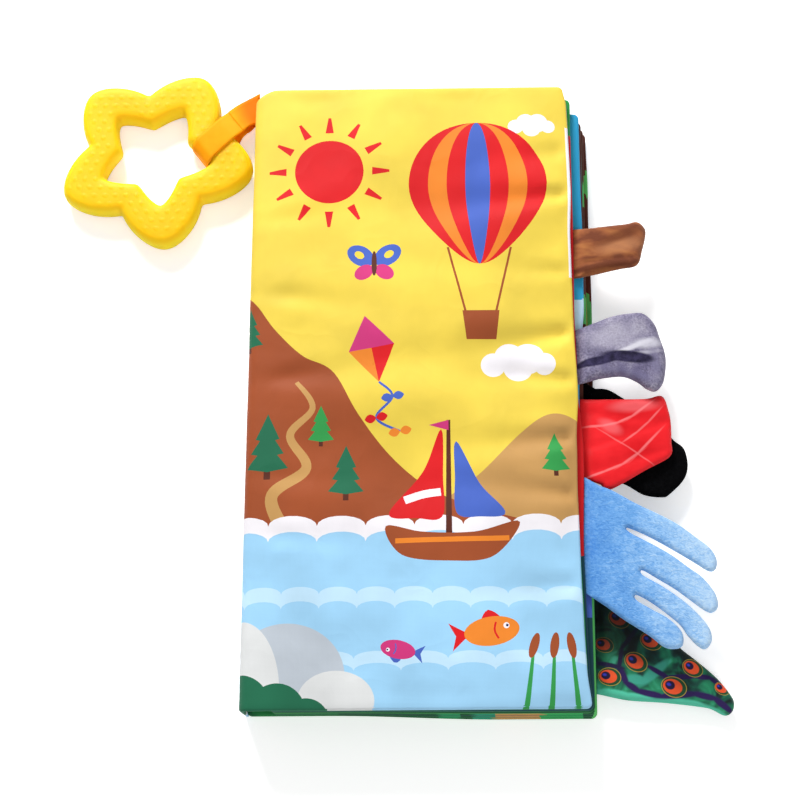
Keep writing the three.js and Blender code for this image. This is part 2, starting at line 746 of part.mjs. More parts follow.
// The teether: a ring between a star outline and a star hole, with rounded edges.
function starTeether() {
  const half = STAR_THICKNESS / 2;
  const quarter = []; // a rounded edge, from the side up to the top face
  for (let i = 0; i <= ROUND_STEPS; i++) {
    const turn = ((Math.PI / 2) * i) / ROUND_STEPS;
    quarter.push({
      inset: STAR_ROUND * (1 - Math.cos(turn)),
      z: half - STAR_ROUND * (1 - Math.sin(turn)),
    });
  }
  const ringAt = (outer, inset, z) => {
    const outline = outer ? starOutline(outerStar, -inset) : starOutline(holeStar, inset);
    return outline.map((point) => new THREE.Vector3(point.x, point.y, z));
  };
  const rings = [
    ...quarter.map(({ inset, z }) => ringAt(true, inset, z)),
    ...[...quarter].reverse().map(({ inset, z }) => ringAt(false, inset, z)),
    ...quarter.map(({ inset, z }) => ringAt(false, inset, -z)),
    ...[...quarter].reverse().map(({ inset, z }) => ringAt(true, inset, -z)),
  ];
  return closedTube(rings);
}

// A closed ring-shaped solid: bands between rings, and from the last ring back to the first.
function closedTube(rings) {
  const count = rings[0].length;
  const index = [];
  for (let r = 0; r < rings.length; r++) {
    const next = ((r + 1) % rings.length) * count;
    for (let i = 0; i < count; i++) {
      const a = r * count + i;
      const b = r * count + ((i + 1) % count);
      const c = next + i;
      const d = next + ((i + 1) % count);
      index.push(a, b, c, b, d, c);
    }
  }
  const geometry = new THREE.BufferGeometry();
  geometry.setAttribute(
    "position",
    new THREE.Float32BufferAttribute(rings.flat().flatMap((p) => [p.x, p.y, p.z]), 3),
  );
  geometry.setIndex(facesOut(rings, index));
  geometry.computeVertexNormals();
  return geometry;
}

// Where the teether and its ribbon lie. Lengths along the ribbon run from the wrapped edge of the
// star's hole; the star stands off the spine by its gap, or further if the ribbon needs the room.
const ribbonTurn = THREE.MathUtils.degToRad(RIBBON_ANGLE);
const wrapStart = Math.min(...reachesAlongRibbon(holeStar)); // from the star's centre
const bandWidth = Math.max(...reachesAlongRibbon(outerStar)) - wrapStart; // arm inside the loop
const loopHeight = STAR_THICKNESS + 2 * (FIT_GAP + RIBBON_THICKNESS);
const neckStart = bandWidth + LOOP_SIDE_GAP + LOOP_TAPER;
const swingOut = neckStart + STRAP_NECK; // the star's swing line
const strapStart = swingOut + STRAP_THICKNESS / 2 + FIT_GAP;
const spineSwingX = -halfWidth - FIT_GAP - TAB_DEPTH - SWING_GAP;
const bandFromStar = wrapStart * Math.cos(ribbonTurn) + RIBBON_PASS * Math.sin(ribbonTurn);
const starDirections = Array.from(
  { length: STAR_POINTS },
  (_, i) => THREE.MathUtils.degToRad(STAR_TURN) + (2 * Math.PI * i) / STAR_POINTS,
);
const starReach = STAR_TIP_RADIUS * Math.max(...starDirections.map(Math.cos));
const ribbonReach = bandFromStar + (strapStart + STRAP_LEAST) * Math.cos(ribbonTurn);
const starX = Math.min(-halfWidth - STAR_SPINE_GAP - starReach, spineSwingX - ribbonReach);
const starY = halfHeight - STAR_BELOW_HEAD;
const starZ = STAR_LIFT + STAR_THICKNESS / 2;
const bandX = starX + bandFromStar;
const bandY = starY + wrapStart * Math.sin(ribbonTurn) - RIBBON_PASS * Math.cos(ribbonTurn);

// The ribbon's loop round the star's arm, in the frame of the ribbon: X out towards the spine from
// the wrapped edge, Z up from the middle of the star. It ends in a round nose on the swing line.
function ribbonLoop() {
  const half = loopHeight / 2;
  const nose = STRAP_THICKNESS / 2;
  const ring = (grow, end) => {
    const low = -LOOP_SIDE_GAP - grow;
    const round = LOOP_ROUND + grow;
    const top = half - RIBBON_THICKNESS + grow;
    const points = [];
    for (let i = 0; i <= LOOP_STEPS; i++) {
      const angle = Math.PI / 2 + ((Math.PI / 2) * i) / LOOP_STEPS;
      points.push(
        new THREE.Vector2(
          low + round + round * Math.cos(angle),
          top - round + round * Math.sin(angle),
        ),
      );
    }
    const upper = [new THREE.Vector2(bandWidth + LOOP_SIDE_GAP - LOOP_ROUND / 2, top), ...points];
    const lower = [...upper].reverse().map((p) => new THREE.Vector2(p.x, -p.y));
    return [...upper, ...lower, ...end];
  };
  const noseArc = [];
  for (let i = 0; i <= LOOP_STEPS; i++) {
    const angle = -Math.PI / 2 + (Math.PI * i) / LOOP_STEPS;
    noseArc.push(new THREE.Vector2(swingOut + nose * Math.cos(angle), nose * Math.sin(angle)));
  }
  const noseEnd = [
    new THREE.Vector2(neckStart, -nose),
    ...noseArc,
    new THREE.Vector2(neckStart, nose),
  ];
  const meetingEnd = [new THREE.Vector2(neckStart - RIBBON_THICKNESS, 0)];
  const shape = new THREE.Shape(ring(RIBBON_THICKNESS, noseEnd));
  shape.holes.push(new THREE.Path(ring(0, meetingEnd)));
  const geometry = new THREE.ExtrudeGeometry(shape, { depth: RIBBON_WIDTH, bevelEnabled: false });
  return geometry.rotateX(Math.PI / 2).translate(0, RIBBON_WIDTH / 2, 0);
}

// The doubled ribbon between the star's swing line and the spine's, cut square at the star and along
// the spine at the other end.
function ribbonStrap() {
  const half = STRAP_THICKNESS / 2;
  const swing = (spineSwingX - bandX) / Math.cos(ribbonTurn);
  const slant = Math.tan(ribbonTurn);
  const side = RIBBON_WIDTH / 2;
  const end = (across, back) => swing + across * slant - back / Math.cos(ribbonTurn);
  const section = (back, z) => [
    new THREE.Vector3(strapStart, -side, z),
    new THREE.Vector3(end(-side, back), -side, z),
    new THREE.Vector3(end(side, back), side, z),
    new THREE.Vector3(strapStart, side, z),
  ];
  const rings = [];
  for (let i = 0; i <= LOOP_STEPS; i++) {
    const angle = Math.PI / 2 - (Math.PI * i) / LOOP_STEPS;
    rings.push(section(-half * Math.cos(angle), half * Math.sin(angle)));
  }
  return ringSolid(rings);
}

// The patch that holds the ribbon on the spine.
function ribbonTab() {
  const left = -halfWidth - FIT_GAP - TAB_DEPTH;
  const right = -halfWidth - FIT_GAP;
  const middle = bandY + (spineSwingX - bandX) * Math.tan(ribbonTurn);
  const half = RIBBON_WIDTH / 2 / Math.cos(ribbonTurn);
  return prismAlongY(
    [
      new THREE.Vector2(left, starZ - TAB_HEIGHT / 2),
      new THREE.Vector2(right, starZ - TAB_HEIGHT / 2),
      new THREE.Vector2(right, starZ + TAB_HEIGHT / 2),
      new THREE.Vector2(left, starZ + TAB_HEIGHT / 2),
    ],
    middle - half,
    middle + half,
  );
}

function teetherGroup() {
  const group = new THREE.Group();
  const star = piece(
    "star_teether",
    starTeether(),
    material(TEETHER_YELLOW, TEETHER_ROUGHNESS),
  );
  star.position.set(starX, starY, starZ);
  const ribbon = new THREE.Group();
  ribbon.position.set(bandX, bandY, starZ);
  ribbon.rotation.z = ribbonTurn;
  const satin = material(RIBBON_ORANGE, SATIN_ROUGHNESS);
  ribbon.add(
    piece("ribbon_loop", ribbonLoop(), satin),
    piece("ribbon_strap", ribbonStrap(), satin.clone()),
  );
  group.add(star, ribbon, piece("ribbon_tab", ribbonTab(), satin.clone()));
  return group;
}

const leafLooks = [
  { upper: PRINTED_BLUE, lower: PRINTED_GREEN },
  { upper: PRINTED_GREEN, lower: PRINTED_BLUE },
  { upper: PRINTED_TEAL, lower: PRINTED_RED },
  { upper: PRINTED_RED, lower: PRINTED_TEAL },
];

const book = new THREE.Group();
book.add(
  panel("back_cover", "inner_cloth", "outer_cloth", 0, {
    upper: PRINTED_GREEN,
    lower: PRINTED_YELLOW,
  }),
);
for (let leaf = LEAF_COUNT; leaf >= 1; leaf--) {
  book.add(
    panel(
      `leaf_${leaf}`,
      "front_cloth",
      "back_cloth",
      leafPanel(leaf),
      leafLooks[(leaf - 1) % leafLooks.length],
    ),
  );
}
book.add(
  panel("front_cover", "outer_cloth", "inner_cloth", frontPanel, {
    upper: PRINTED_YELLOW,
    lower: PRINTED_BLUE,
  }),
);
book.add(spine());
tails.forEach((look) => book.add(tail(look)));
book.add(teetherGroup());

export default book;
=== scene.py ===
# Looks of the crinkle cloth book: printed padded covers and leaves, six animal tails and a star
# teether on a ribbon. Sizes are millimetres in the model's frame until a mesh is made from them.
import json
import math

import bpy
import numpy as np
from mathutils import Matrix, Vector, noise
from mathutils.geometry import delaunay_2d_cdt
from mathutils.kdtree import KDTree


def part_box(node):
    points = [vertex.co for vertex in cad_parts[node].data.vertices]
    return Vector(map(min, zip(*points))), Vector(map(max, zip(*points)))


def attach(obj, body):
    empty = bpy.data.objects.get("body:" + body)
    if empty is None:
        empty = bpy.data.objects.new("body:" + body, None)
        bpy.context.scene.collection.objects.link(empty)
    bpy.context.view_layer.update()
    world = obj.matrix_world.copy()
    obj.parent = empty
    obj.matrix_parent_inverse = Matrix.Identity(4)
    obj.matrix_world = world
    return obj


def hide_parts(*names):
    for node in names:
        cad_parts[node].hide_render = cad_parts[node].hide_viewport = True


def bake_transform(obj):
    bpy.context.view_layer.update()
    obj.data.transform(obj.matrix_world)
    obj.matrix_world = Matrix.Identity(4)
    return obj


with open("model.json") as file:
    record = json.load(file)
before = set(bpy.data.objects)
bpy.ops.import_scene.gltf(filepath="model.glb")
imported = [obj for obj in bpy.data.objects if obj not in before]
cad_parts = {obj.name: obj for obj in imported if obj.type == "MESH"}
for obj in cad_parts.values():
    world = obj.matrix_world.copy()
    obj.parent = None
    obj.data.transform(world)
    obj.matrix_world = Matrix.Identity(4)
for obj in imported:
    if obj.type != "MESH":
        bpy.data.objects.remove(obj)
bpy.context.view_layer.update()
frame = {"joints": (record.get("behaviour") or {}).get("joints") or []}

MM = 0.001
# Where each joint's axis lies
JOINTS = {joint["name"]: Vector(joint["pos_m"]) / MM for joint in frame["joints"]}


def box_mm(node):
    """A node's lowest and highest corners, in millimetres."""
    low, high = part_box(node)
    return low / MM, high / MM


COVER_LOW, COVER_HIGH = box_mm("front_cover_outer_cloth")
HALF_HEIGHT = COVER_HIGH.y
PANEL_LEFT = COVER_LOW.x
BACK_LEFT = box_mm("back_cover_outer_cloth")[0].x
HINGE = JOINTS["front_cover_open"]

# Sizes shared with the model
PANEL_THICKNESS = 3.2
PANEL_PITCH = PANEL_THICKNESS + 0.45
LEAF_COUNT = 4
FRONT_PANEL = LEAF_COUNT + 1
HEAD_FLARE = 4.0
FLARE_STEP = 0.7
CORNER_RADIUS = 2.0
EDGE_ROUND = 0.9
SEAM_GAP = 0.3
CLOTH = 0.4
RIM = 1.1
SEAM_RADIUS = 3.3
SEAM_HALF = 115.0
HEM_RADIUS = 3.6
HEM_THICKNESS = 0.6
HEM_BOTTOM = -90
HEM_TOP = 40
SPINE_X = -60.0
RIBBON_ANGLE = math.radians(37)
STAR_POINTS = 5
STAR_THICKNESS = 9.0
STAR_TURN = math.radians(62)
STAR_TIP = 38.8


def panel_middle(number):
    """Height of the middle of a panel: 0 is the back cover, FRONT_PANEL the front cover."""
    return PANEL_THICKNESS / 2 + number * PANEL_PITCH


def leaf_panel(leaf):
    """A leaf's number as a panel."""
    return LEAF_COUNT + 1 - leaf


def panel_body(number):
    return {0: "back_cover", FRONT_PANEL: "front_cover"}.get(number, f"leaf_{leaf_panel(number)}")


# Materials

def srgb(code):
    """A linear colour from a written one such as #f6dd5b."""
    parts = [int(code[i : i + 2], 16) / 255 for i in (1, 3, 5)]
    return (*(c / 12.92 if c <= 0.04045 else ((c + 0.055) / 1.055) ** 2.4 for c in parts), 1.0)


def put(node, sockets):
    """Sets a node's sockets, each to an output, a number, a triple or a written colour."""
    for key, value in sockets.items():
        if isinstance(value, bpy.types.NodeSocket):
            node.id_data.links.new(value, node.inputs[key])
        else:
            node.inputs[key].default_value = srgb(value) if isinstance(value, str) else value


class Nodes:
    """A material's node tree, with one short call for each kind of node."""

    def __init__(self, name, roughness, sheen=0.0, specular=0.5):
        self.material = bpy.data.materials.new(name)
        self.material.use_nodes = True
        self.tree = self.material.node_tree
        self.shader = self.tree.nodes["Principled BSDF"]
        put(self.shader, {"Roughness": roughness, "Sheen Weight": sheen, "Specular IOR Level": specular})
        self.coordinates = self.add("ShaderNodeTexCoord").outputs["Object"]

    def add(self, kind, sockets=None, **values):
        node = self.tree.nodes.new(kind)
        for key, value in values.items():
            setattr(node, key, value)
        put(node, sockets or {})
        return node

    def noise(self, size, detail=3.0, stretch=None, distortion=0.0):
        """Noise with features of size millimetres, drawn out along an axis by stretch."""
        source = self.coordinates
        if stretch:
            source = self.add("ShaderNodeMapping", {"Scale": stretch, "Vector": source}).outputs["Vector"]
        sockets = {"Scale": 1 / (size * MM), "Detail": detail, "Distortion": distortion, "Vector": source}
        return self.add("ShaderNodeTexNoise", sockets).outputs["Fac"]

    def part(self, vector, axis):
        return self.add("ShaderNodeSeparateXYZ", {"Vector": vector}).outputs[axis]

    def bands(self, period, axis):
        """Even bands that repeat after period millimetres."""
        scale = 2 * math.pi / (20 * period * MM)  # Blender's wave repeats every 2 pi / 20 at scale 1
        sockets = {"Scale": scale, "Distortion": 0.6, "Vector": self.coordinates}
        node = self.add("ShaderNodeTexWave", sockets, wave_type="BANDS", bands_direction=axis)
        return node.outputs["Fac"]

    def math(self, operation, a, b=None, clamp=False):
        sockets = {0: a} if b is None else {0: a, 1: b}
        return self.add("ShaderNodeMath", sockets, operation=operation, use_clamp=clamp).outputs["Value"]

    def ramp(self, factor, stops):
        node = self.add("ShaderNodeValToRGB", {"Fac": factor})
        elements = node.color_ramp.elements
        for index, (place, color) in enumerate(stops):
            element = elements[index] if index < 2 else elements.new(place)
            element.position = place
            element.color = srgb(color)
        return node.outputs["Color"]

    def mix(self, factor, a, b, blend="MIX"):
        sockets = {0: factor, 6: a, 7: b}
        return self.add("ShaderNodeMix", sockets, data_type="RGBA", blend_type=blend).outputs[2]

    def tint(self, color, shade, where, most):
        """A colour with a shade over it where a factor says, and never more of it than most."""
        return self.mix(self.math("MULTIPLY", where, most), color, shade)

    def smooth_step(self, value, **ends):
        sockets = {key.replace("_", " "): end for key, end in ends.items()}
        node = self.add("ShaderNodeMapRange", {**sockets, "Value": value}, interpolation_type="SMOOTHSTEP")
        return node.outputs["Result"]

    def length(self, vector):
        return self.add("ShaderNodeVectorMath", {0: vector}, operation="LENGTH").outputs["Value"]

    def spot(self, centre, radii, turn=0.0, soft=0.15):
        """1 inside an ellipse in X and Y and 0 outside it; places and sizes in millimetres."""
        sockets = {
            "Location": (centre[0] * MM, centre[1] * MM, 0),
            "Rotation": (0, 0, turn),
            "Scale": (radii[0] * MM, radii[1] * MM, 1),
            "Vector": self.coordinates,
        }
        own = self.add("ShaderNodeMapping", sockets, vector_type="TEXTURE").outputs["Vector"]
        flat = self.add("ShaderNodeVectorMath", {0: own, 1: (1, 1, 0)}, operation="MULTIPLY")
        out = self.length(flat.outputs["Vector"])
        return self.smooth_step(out, From_Min=1 - soft, From_Max=1 + soft, To_Min=1, To_Max=0)

    def streaks(self, places, width, soft):
        """1 along a line of places in X and Y and 0 beside it."""
        line = 0.0
        for start, end in zip(places, places[1:]):
            way = Vector(end) - Vector(start)
            middle = (Vector(start) + Vector(end)) / 2
            # Each ellipse is longer than half its stretch, so that the line doesn't break
            stretch = self.spot(middle, (0.78 * way.length, width), math.atan2(way.y, way.x), soft)
            line = self.math("MAXIMUM", line, stretch)
        return line

    def bump(self, height, depth, strength):
        """Bump of depth millimetres."""
        node = self.add("ShaderNodeBump", {"Strength": strength, "Distance": depth * MM, "Height": height})
        put(self.shader, {"Normal": node.outputs["Normal"]})

    def color(self, output):
        put(self.shader, {"Base Color": output})
        return self.material


def weave(nodes):
    """Height of a plain weave: two sets of threads that pass over each other."""
    return nodes.math("MAXIMUM", nodes.bands(0.42, "X"), nodes.bands(0.42, "Y"))


def crinkles(nodes):
    """Height of the small sharp creases of cloth over crackling film."""
    folds = nodes.noise(16.0, detail=1.0, distortion=0.8)
    ridge = nodes.math("ABSOLUTE", nodes.math("SUBTRACT", folds, 0.5))
    return nodes.math("SUBTRACT", 1.0, nodes.math("MULTIPLY", ridge, 5.0, clamp=True))


def printed_cloth():
    """Polyester cloth that shows its mesh's printed colours."""
    nodes = Nodes("printed_polyester", roughness=0.6, sheen=0.03, specular=0.16)
    print_color = nodes.add("ShaderNodeVertexColor", layer_name="print").outputs["Color"]
    # Soft lighter and darker patches about 26 mm across, multiplied over the print: painted light and
    # shade of the cloth's broad waves
    fade = nodes.ramp(nodes.noise(26.0), [(0.3, "#e9e9e9"), (0.7, "#ffffff")])
    woven = weave(nodes)
    threads = nodes.ramp(woven, [(0.0, "#e8e8e8"), (0.6, "#ffffff")])
    color = nodes.mix(1.0, print_color, fade, "MULTIPLY")
    nodes.bump(nodes.math("ADD", nodes.math("MULTIPLY", woven, 0.05), crinkles(nodes)), 0.22, 0.3)
    return nodes.color(nodes.mix(0.6, color, threads, "MULTIPLY"))


def seam_cloth():
    nodes = Nodes("seam_cloth", roughness=0.75, sheen=0.2, specular=0.3)
    color = nodes.ramp(nodes.noise(6.0), [(0.3, "#d9d4c8"), (0.7, "#f3efe6")])
    woven = weave(nodes)
    nodes.bump(woven, 0.08, 0.5)
    threads = nodes.ramp(woven, [(0.0, "#d8d8d8"), (0.6, "#ffffff")])
    return nodes.color(nodes.mix(1.0, color, threads, "MULTIPLY"))


def wadding_fleece():
    nodes = Nodes("wadding_fleece", roughness=0.95, sheen=0.2, specular=0.1)
    fluff = nodes.noise(2.0, detail=5.0)
    nodes.bump(fluff, 0.4, 0.6)
    return nodes.color(nodes.ramp(fluff, [(0.3, "#e4e2dc"), (0.7, "#f7f6f2")]))


def crinkle_film():
    nodes = Nodes("crinkle_film", roughness=0.25)
    nodes.bump(crinkles(nodes), 0.3, 0.8)
    return nodes.color(nodes.ramp(nodes.noise(8.0), [(0.3, "#c6ccd2"), (0.7, "#eef1f4")]))


def pile(nodes, size, depth):
    """Bump of short fibres with a few brushed patches."""
    patches = nodes.math("MULTIPLY", nodes.noise(3.2, detail=2.0), 0.8)
    nodes.bump(nodes.math("ADD", nodes.noise(size, detail=4.0), patches), depth, 0.8)


# Meshes

ROW_SHARE = 0.87  # distance of the rows of an even triangle grid, as a share of its spacing
CLEAR_SHARE = 0.45  # how far grid points stay off drawn lines, as a share of the spacing


def make_mesh(name, points, faces, material, smooth=True):
    """An object from points in millimetres."""
    mesh = bpy.data.meshes.new(name)
    mesh.from_pydata([tuple(c * MM for c in point) for point in points], [], faces)
    mesh.validate()
    mesh.polygons.foreach_set("use_smooth", [smooth] * len(mesh.polygons))
    mesh.materials.append(material)
    made = bpy.data.objects.new(name, mesh)
    bpy.context.scene.collection.objects.link(made)
    return made


def face_out(obj):
    """Turns a closed mesh's faces outwards."""
    volume = 0.0
    for polygon in obj.data.polygons:
        a, *rest = [obj.data.vertices[i].co for i in polygon.vertices]
        for b, c in zip(rest, rest[1:]):
            volume += a.dot(b.cross(c))
    if volume < 0:
        obj.data.flip_normals()
    return obj


def flat_array(points):
    return np.array([tuple(point) for point in points])


def heading(path, i):
    """The way a path goes at one of its points."""
    return (path[min(i + 1, len(path) - 1)] - path[max(i - 1, 0)]).normalized()


def resample(points, step, closed):
    """Points at even distances of about step along a polyline."""
    path = list(points) + ([points[0]] if closed else [])
    lengths = [0.0]
    for a, b in zip(path, path[1:]):
        lengths.append(lengths[-1] + (b - a).length)
    count = max(3, round(lengths[-1] / step))
    result, segment = [], 0
    for i in range(count if closed else count + 1):
        target = lengths[-1] * i / count
        while segment < len(path) - 2 and lengths[segment + 1] < target:
            segment += 1
        span = max(lengths[segment + 1] - lengths[segment], 1e-9)
        result.append(path[segment].lerp(path[segment + 1], (target - lengths[segment]) / span))
    return result


def smooth_path(points, step, closed=False):
    """A smooth curve through points, sampled about every step."""
    points = [Vector(point) for point in points]
    count = len(points)
    dense = []
    for i in range(count if closed else count - 1):
        near = [(i + k) % count if closed else min(max(i + k, 0), count - 1) for k in (-1, 0, 1, 2)]
        a, b, c, d = (points[k] for k in near)
        for t in (k / 12 for k in range(12)):
            square = (2 * a - 5 * b + 4 * c - d) * t * t
            dense.append(0.5 * (2 * b + (c - a) * t + square + (3 * b - a - 3 * c + d) * t**3))
    if not closed:
        dense.append(points[-1])
    return resample(dense, step, closed)


def inside(polygon, x, y):
    """Whether a point lies inside a polygon of numpy points."""
    a, b = polygon, np.roll(polygon, -1, axis=0)
    crosses = (a[:, 1] > y) != (b[:, 1] > y)
    if not crosses.any():
        return False
    a, b = a[crosses], b[crosses]
    at = a[:, 0] + (y - a[:, 1]) / (b[:, 1] - a[:, 1]) * (b[:, 0] - a[:, 0])
    return bool((at > x).sum() % 2)


def divided(points, closed, longest):
    """The same line with no stretch longer than longest."""
    result = []
    for start, end in zip(points, list(points[1:]) + [points[0]] * closed):
        start, end = Vector(start), Vector(end)
        steps = max(1, math.ceil((end - start).length / longest))
        result += [start.lerp(end, k / steps) for k in range(steps)]
    return result if closed else result + [Vector(points[-1])]


def fill_outline(outline, spacing, lines=()):
    """Triangles that fill an outline with an even grid of points and keep the given lines as edges.
    lines holds (points, closed) pairs. Returns the points and the triangles."""
    coordinates = [tuple(point) for point in outline]
    edges = [(i, (i + 1) % len(outline)) for i in range(len(outline))]
    for points, closed in lines:
        points = divided(points, closed, spacing)
        start = len(coordinates)
        coordinates += [(point[0], point[1]) for point in points]
        edges += [(start + i, start + i + 1) for i in range(len(points) - 1)]
        if closed:
            edges.append((start + len(points) - 1, start))
    drawn = KDTree(len(coordinates))
    for i, (x, y) in enumerate(coordinates):
        drawn.insert((x, y, 0), i)
    drawn.balance()
    border = flat_array(outline)
    low, high = border.min(0), border.max(0)
    for row in range(1, int((high[1] - low[1]) / (spacing * ROW_SHARE)) + 1):
        y = low[1] + row * spacing * ROW_SHARE
        x = low[0] + spacing * (0.5 if row % 2 else 1.0)
        while x < high[0]:
            if drawn.find((x, y, 0))[2] > CLEAR_SHARE * spacing and inside(border, x, y):
                coordinates.append((x, y))
            x += spacing
    vertices, _, triangles, *_ = delaunay_2d_cdt(
        [Vector(c) for c in coordinates], edges, [list(range(len(outline)))], 1, 1e-4, False
    )
    points = [Vector(v) for v in vertices]
    kept = []
    for triangle in triangles:
        middle = sum((points[i] for i in triangle), Vector((0, 0))) / 3
        if inside(border, *middle):
            kept.append(list(triangle))
    return points, kept


def closed_faces(triangles, count):
    """Faces of a thin closed solid: the triangles, their copy count points on, and its rim."""
    faces = triangles + [[i + count for i in reversed(triangle)] for triangle in triangles]
    sides = {(a, b) for t in triangles for a, b in zip(t, t[1:] + t[:1])}
    for a, b in sorted(sides):
        if (b, a) not in sides:
            faces += [[b, a, a + count], [b, a + count, b + count]]
    return faces


# Prints. A print is a ground colour and a list of (outline, colour) shapes, later ones on top.

YELLOW = "#f3d652"
RED = "#df1b21"
ORANGE = "#f28a2e"
BLUE = "#4a68c4"
SKY = "#a4d8fa"
PALE_SKY = "#c6e9ff"
WHITE = "#fbf7fc"
BROWN = "#a4512c"
DARK_BROWN = "#5c2c20"
MAGENTA = "#d5397f"
GREEN = "#37a050"
LIGHT_GREEN = "#63cf6c"
DARK_GREEN = "#246f50"
TEAL = "#2a8f8c"
CYAN = "#30a8da"
GREY = "#c3ccd6"
PALE_GREY = "#e4e6e6"
NAVY = "#2b2a5e"
DEEP_TEAL = "#1b4a55"
DEEP_GREEN = "#155c35"
TAN = "#c99a5c"
PRINT_STEP = 1.2
# How far bands reach across and below every cloth
PRINT_LEFT = -85.0
PRINT_RIGHT = 75.0
PRINT_FOOT = -140.0


def polar(x, y, radius, angle):
    return x + radius * math.cos(angle), y + radius * math.sin(angle)


def scaled(x, y, size, *places):
    """Places of a shape of some size whose own origin lies at x, y."""
    return [(x + a * size, y + b * size) for a, b in places]


def ellipse(x, y, rx, ry=None, turn=0.0):
    """Outline of an ellipse, or of a circle where ry isn't given."""
    ry = rx if ry is None else ry
    count = max(12, round(2 * math.pi * max(rx, ry) / PRINT_STEP))
    angles = [2 * math.pi * i / count for i in range(count)]
    way = Matrix.Rotation(turn, 2)
    return [Vector((x, y)) + way @ Vector((rx * math.cos(a), ry * math.sin(a))) for a in angles]


def blob(points):
    """A smooth closed outline through a few points."""
    return smooth_path(points, PRINT_STEP, closed=True)


def stroke(points, start_width, end_width=None):
    """Outline of a curved brush stroke through points."""
    end_width = start_width if end_width is None else end_width
    path = smooth_path(points, PRINT_STEP)
    left, right = [], []
    for i, point in enumerate(path):
        along = heading(path, i)
        half = (start_width + (end_width - start_width) * i / (len(path) - 1)) / 2
        left.append(point + Vector((-along.y, along.x)) * half)
        right.append(point - Vector((-along.y, along.x)) * half)
    return left + right[::-1]


def leaf_shape(x, y, length, width, turn):
    """A pointed leaf from its stalk at x, y."""
    shares = [i / 16 for i in range(17)]
    points = [Vector((length * s, width / 2 * math.sin(math.pi * s) ** 0.8)) for s in shares]
    points += [Vector((p.x, -p.y)) for p in points[-2:0:-1]]
    return [Vector((x, y)) + Matrix.Rotation(turn, 2) @ p for p in points]


def band(top, bottom=PRINT_FOOT, left=PRINT_LEFT, right=PRINT_RIGHT, wave=0.0, period=30.0, slope=0.0):
    """A band across the cloth with a wavy upper edge."""
    steps = round((right - left) / (2 * PRINT_STEP))
    places = [left + (right - left) * i / steps for i in range(steps + 1)]
    upper = [(x, top + slope * x + wave * math.sin(2 * math.pi * x / period)) for x in places]
    return [(left, bottom), (right, bottom)] + upper[::-1]


def scallops(top, depth, radius):
    """A band whose upper edge is a row of round crests."""
    upper = []
    for k in range(math.ceil((PRINT_RIGHT - PRINT_LEFT) / (2 * radius))):
        middle = PRINT_LEFT + (2 * k + 1) * radius
        for angle in (math.pi - math.pi * i / 9 for i in range(10)):
            upper.append((middle + radius * math.cos(angle), top + depth * math.sin(angle)))
    return [(PRINT_LEFT, PRINT_FOOT), (PRINT_RIGHT, PRINT_FOOT)] + upper[::-1]


def flower(x, y, radius, petal, heart, turn):
    shapes = []
    for angle in (turn + 2 * math.pi * i / 7 for i in range(7)):
        middle = polar(x, y, radius * 0.62, angle)
        shapes.append((ellipse(*middle, radius * 0.42, radius * 0.3, angle), petal))
    return shapes + [(ellipse(x, y, radius * 0.32), heart)]


def sun(x, y, radius, color):
    shapes = []
    for angle in (2 * math.pi * i / 12 for i in range(12)):
        ray = [polar(x, y, reach * radius, angle) for reach in (1.25, 1.75)]
        shapes.append((stroke(ray, radius * 0.24, radius * 0.08), color))
    return shapes + [(ellipse(x, y, radius), color)]


def cloud(x, y, size):
    puffs = [(-1.0, 0, 0.5), (-0.35, 0.3, 0.6), (0.4, 0.25, 0.65), (1.05, 0, 0.45), (0, -0.1, 0.6)]
    return [(ellipse(x + a * size, y + b * size, c * size), WHITE) for a, b, c in puffs]


def balloon(x, y, radius):
    """A hot-air balloon in stripes, with its basket."""
    top = y - 2.05 * radius
    low = top - 0.34 * radius
    shapes = [
        (stroke([(x + s * radius * 0.45, y - radius), (x + s * radius * 0.2, top)], 0.8), BROWN)
        for s in (-1, 1)
    ]
    half = radius * 0.26
    basket = [(x - half, top + 2), (x - half * 0.8, low), (x + half * 0.8, low), (x + half, top + 2)]
    shapes.append((basket, BROWN))
    for share, color in ((1.0, RED), (0.72, ORANGE), (0.45, RED), (0.18, BLUE)):
        outline = []
        for angle in (2 * math.pi * i / 64 for i in range(64)):
            down = max(0.0, -math.sin(angle))
            width = radius * share * math.cos(angle) * (1 - 0.35 * down**2)
            outline.append((x + width, y + radius * math.sin(angle) * (1 + 0.25 * down)))
        shapes.append((outline, color))
    return shapes


def sailing_boat(x, y, size):
    """A boat with a brown hull and mast, a striped red mainsail and a blue jib. y is its waterline."""
    def at(*places):
        return scaled(x, y, size, *places)

    hull = at((-1, 0.3), (-0.75, -0.16), (0, -0.26), (0.7, -0.18), (1.12, 0.36), (0.4, 0.2), (-0.4, 0.2))
    main = at((-0.1, 1.9), (-0.4, 1.2), (-0.95, 0.5), (-0.5, 0.42), (-0.1, 0.45), (-0.08, 1.1))
    jib = at((0.14, 1.7), (0.5, 1.0), (0.9, 0.5), (0.5, 0.44), (0.13, 0.5), (0.11, 1.1))
    return [
        (stroke(at((0, 0.15), (0.02, 2.05)), size * 0.1, size * 0.06), DARK_BROWN),
        (blob(hull), BROWN),
        (stroke(at((-0.85, 0.06), (0.95, 0.1)), size * 0.08), ORANGE),
        (blob(main), RED),
        (stroke(at((-0.7, 0.72), (-0.4, 0.82), (-0.12, 0.86)), size * 0.13), WHITE),
        (blob(jib), BLUE),
        (at((0.02, 2.05), (-0.3, 1.97), (0.02, 1.88)), MAGENTA),
    ]


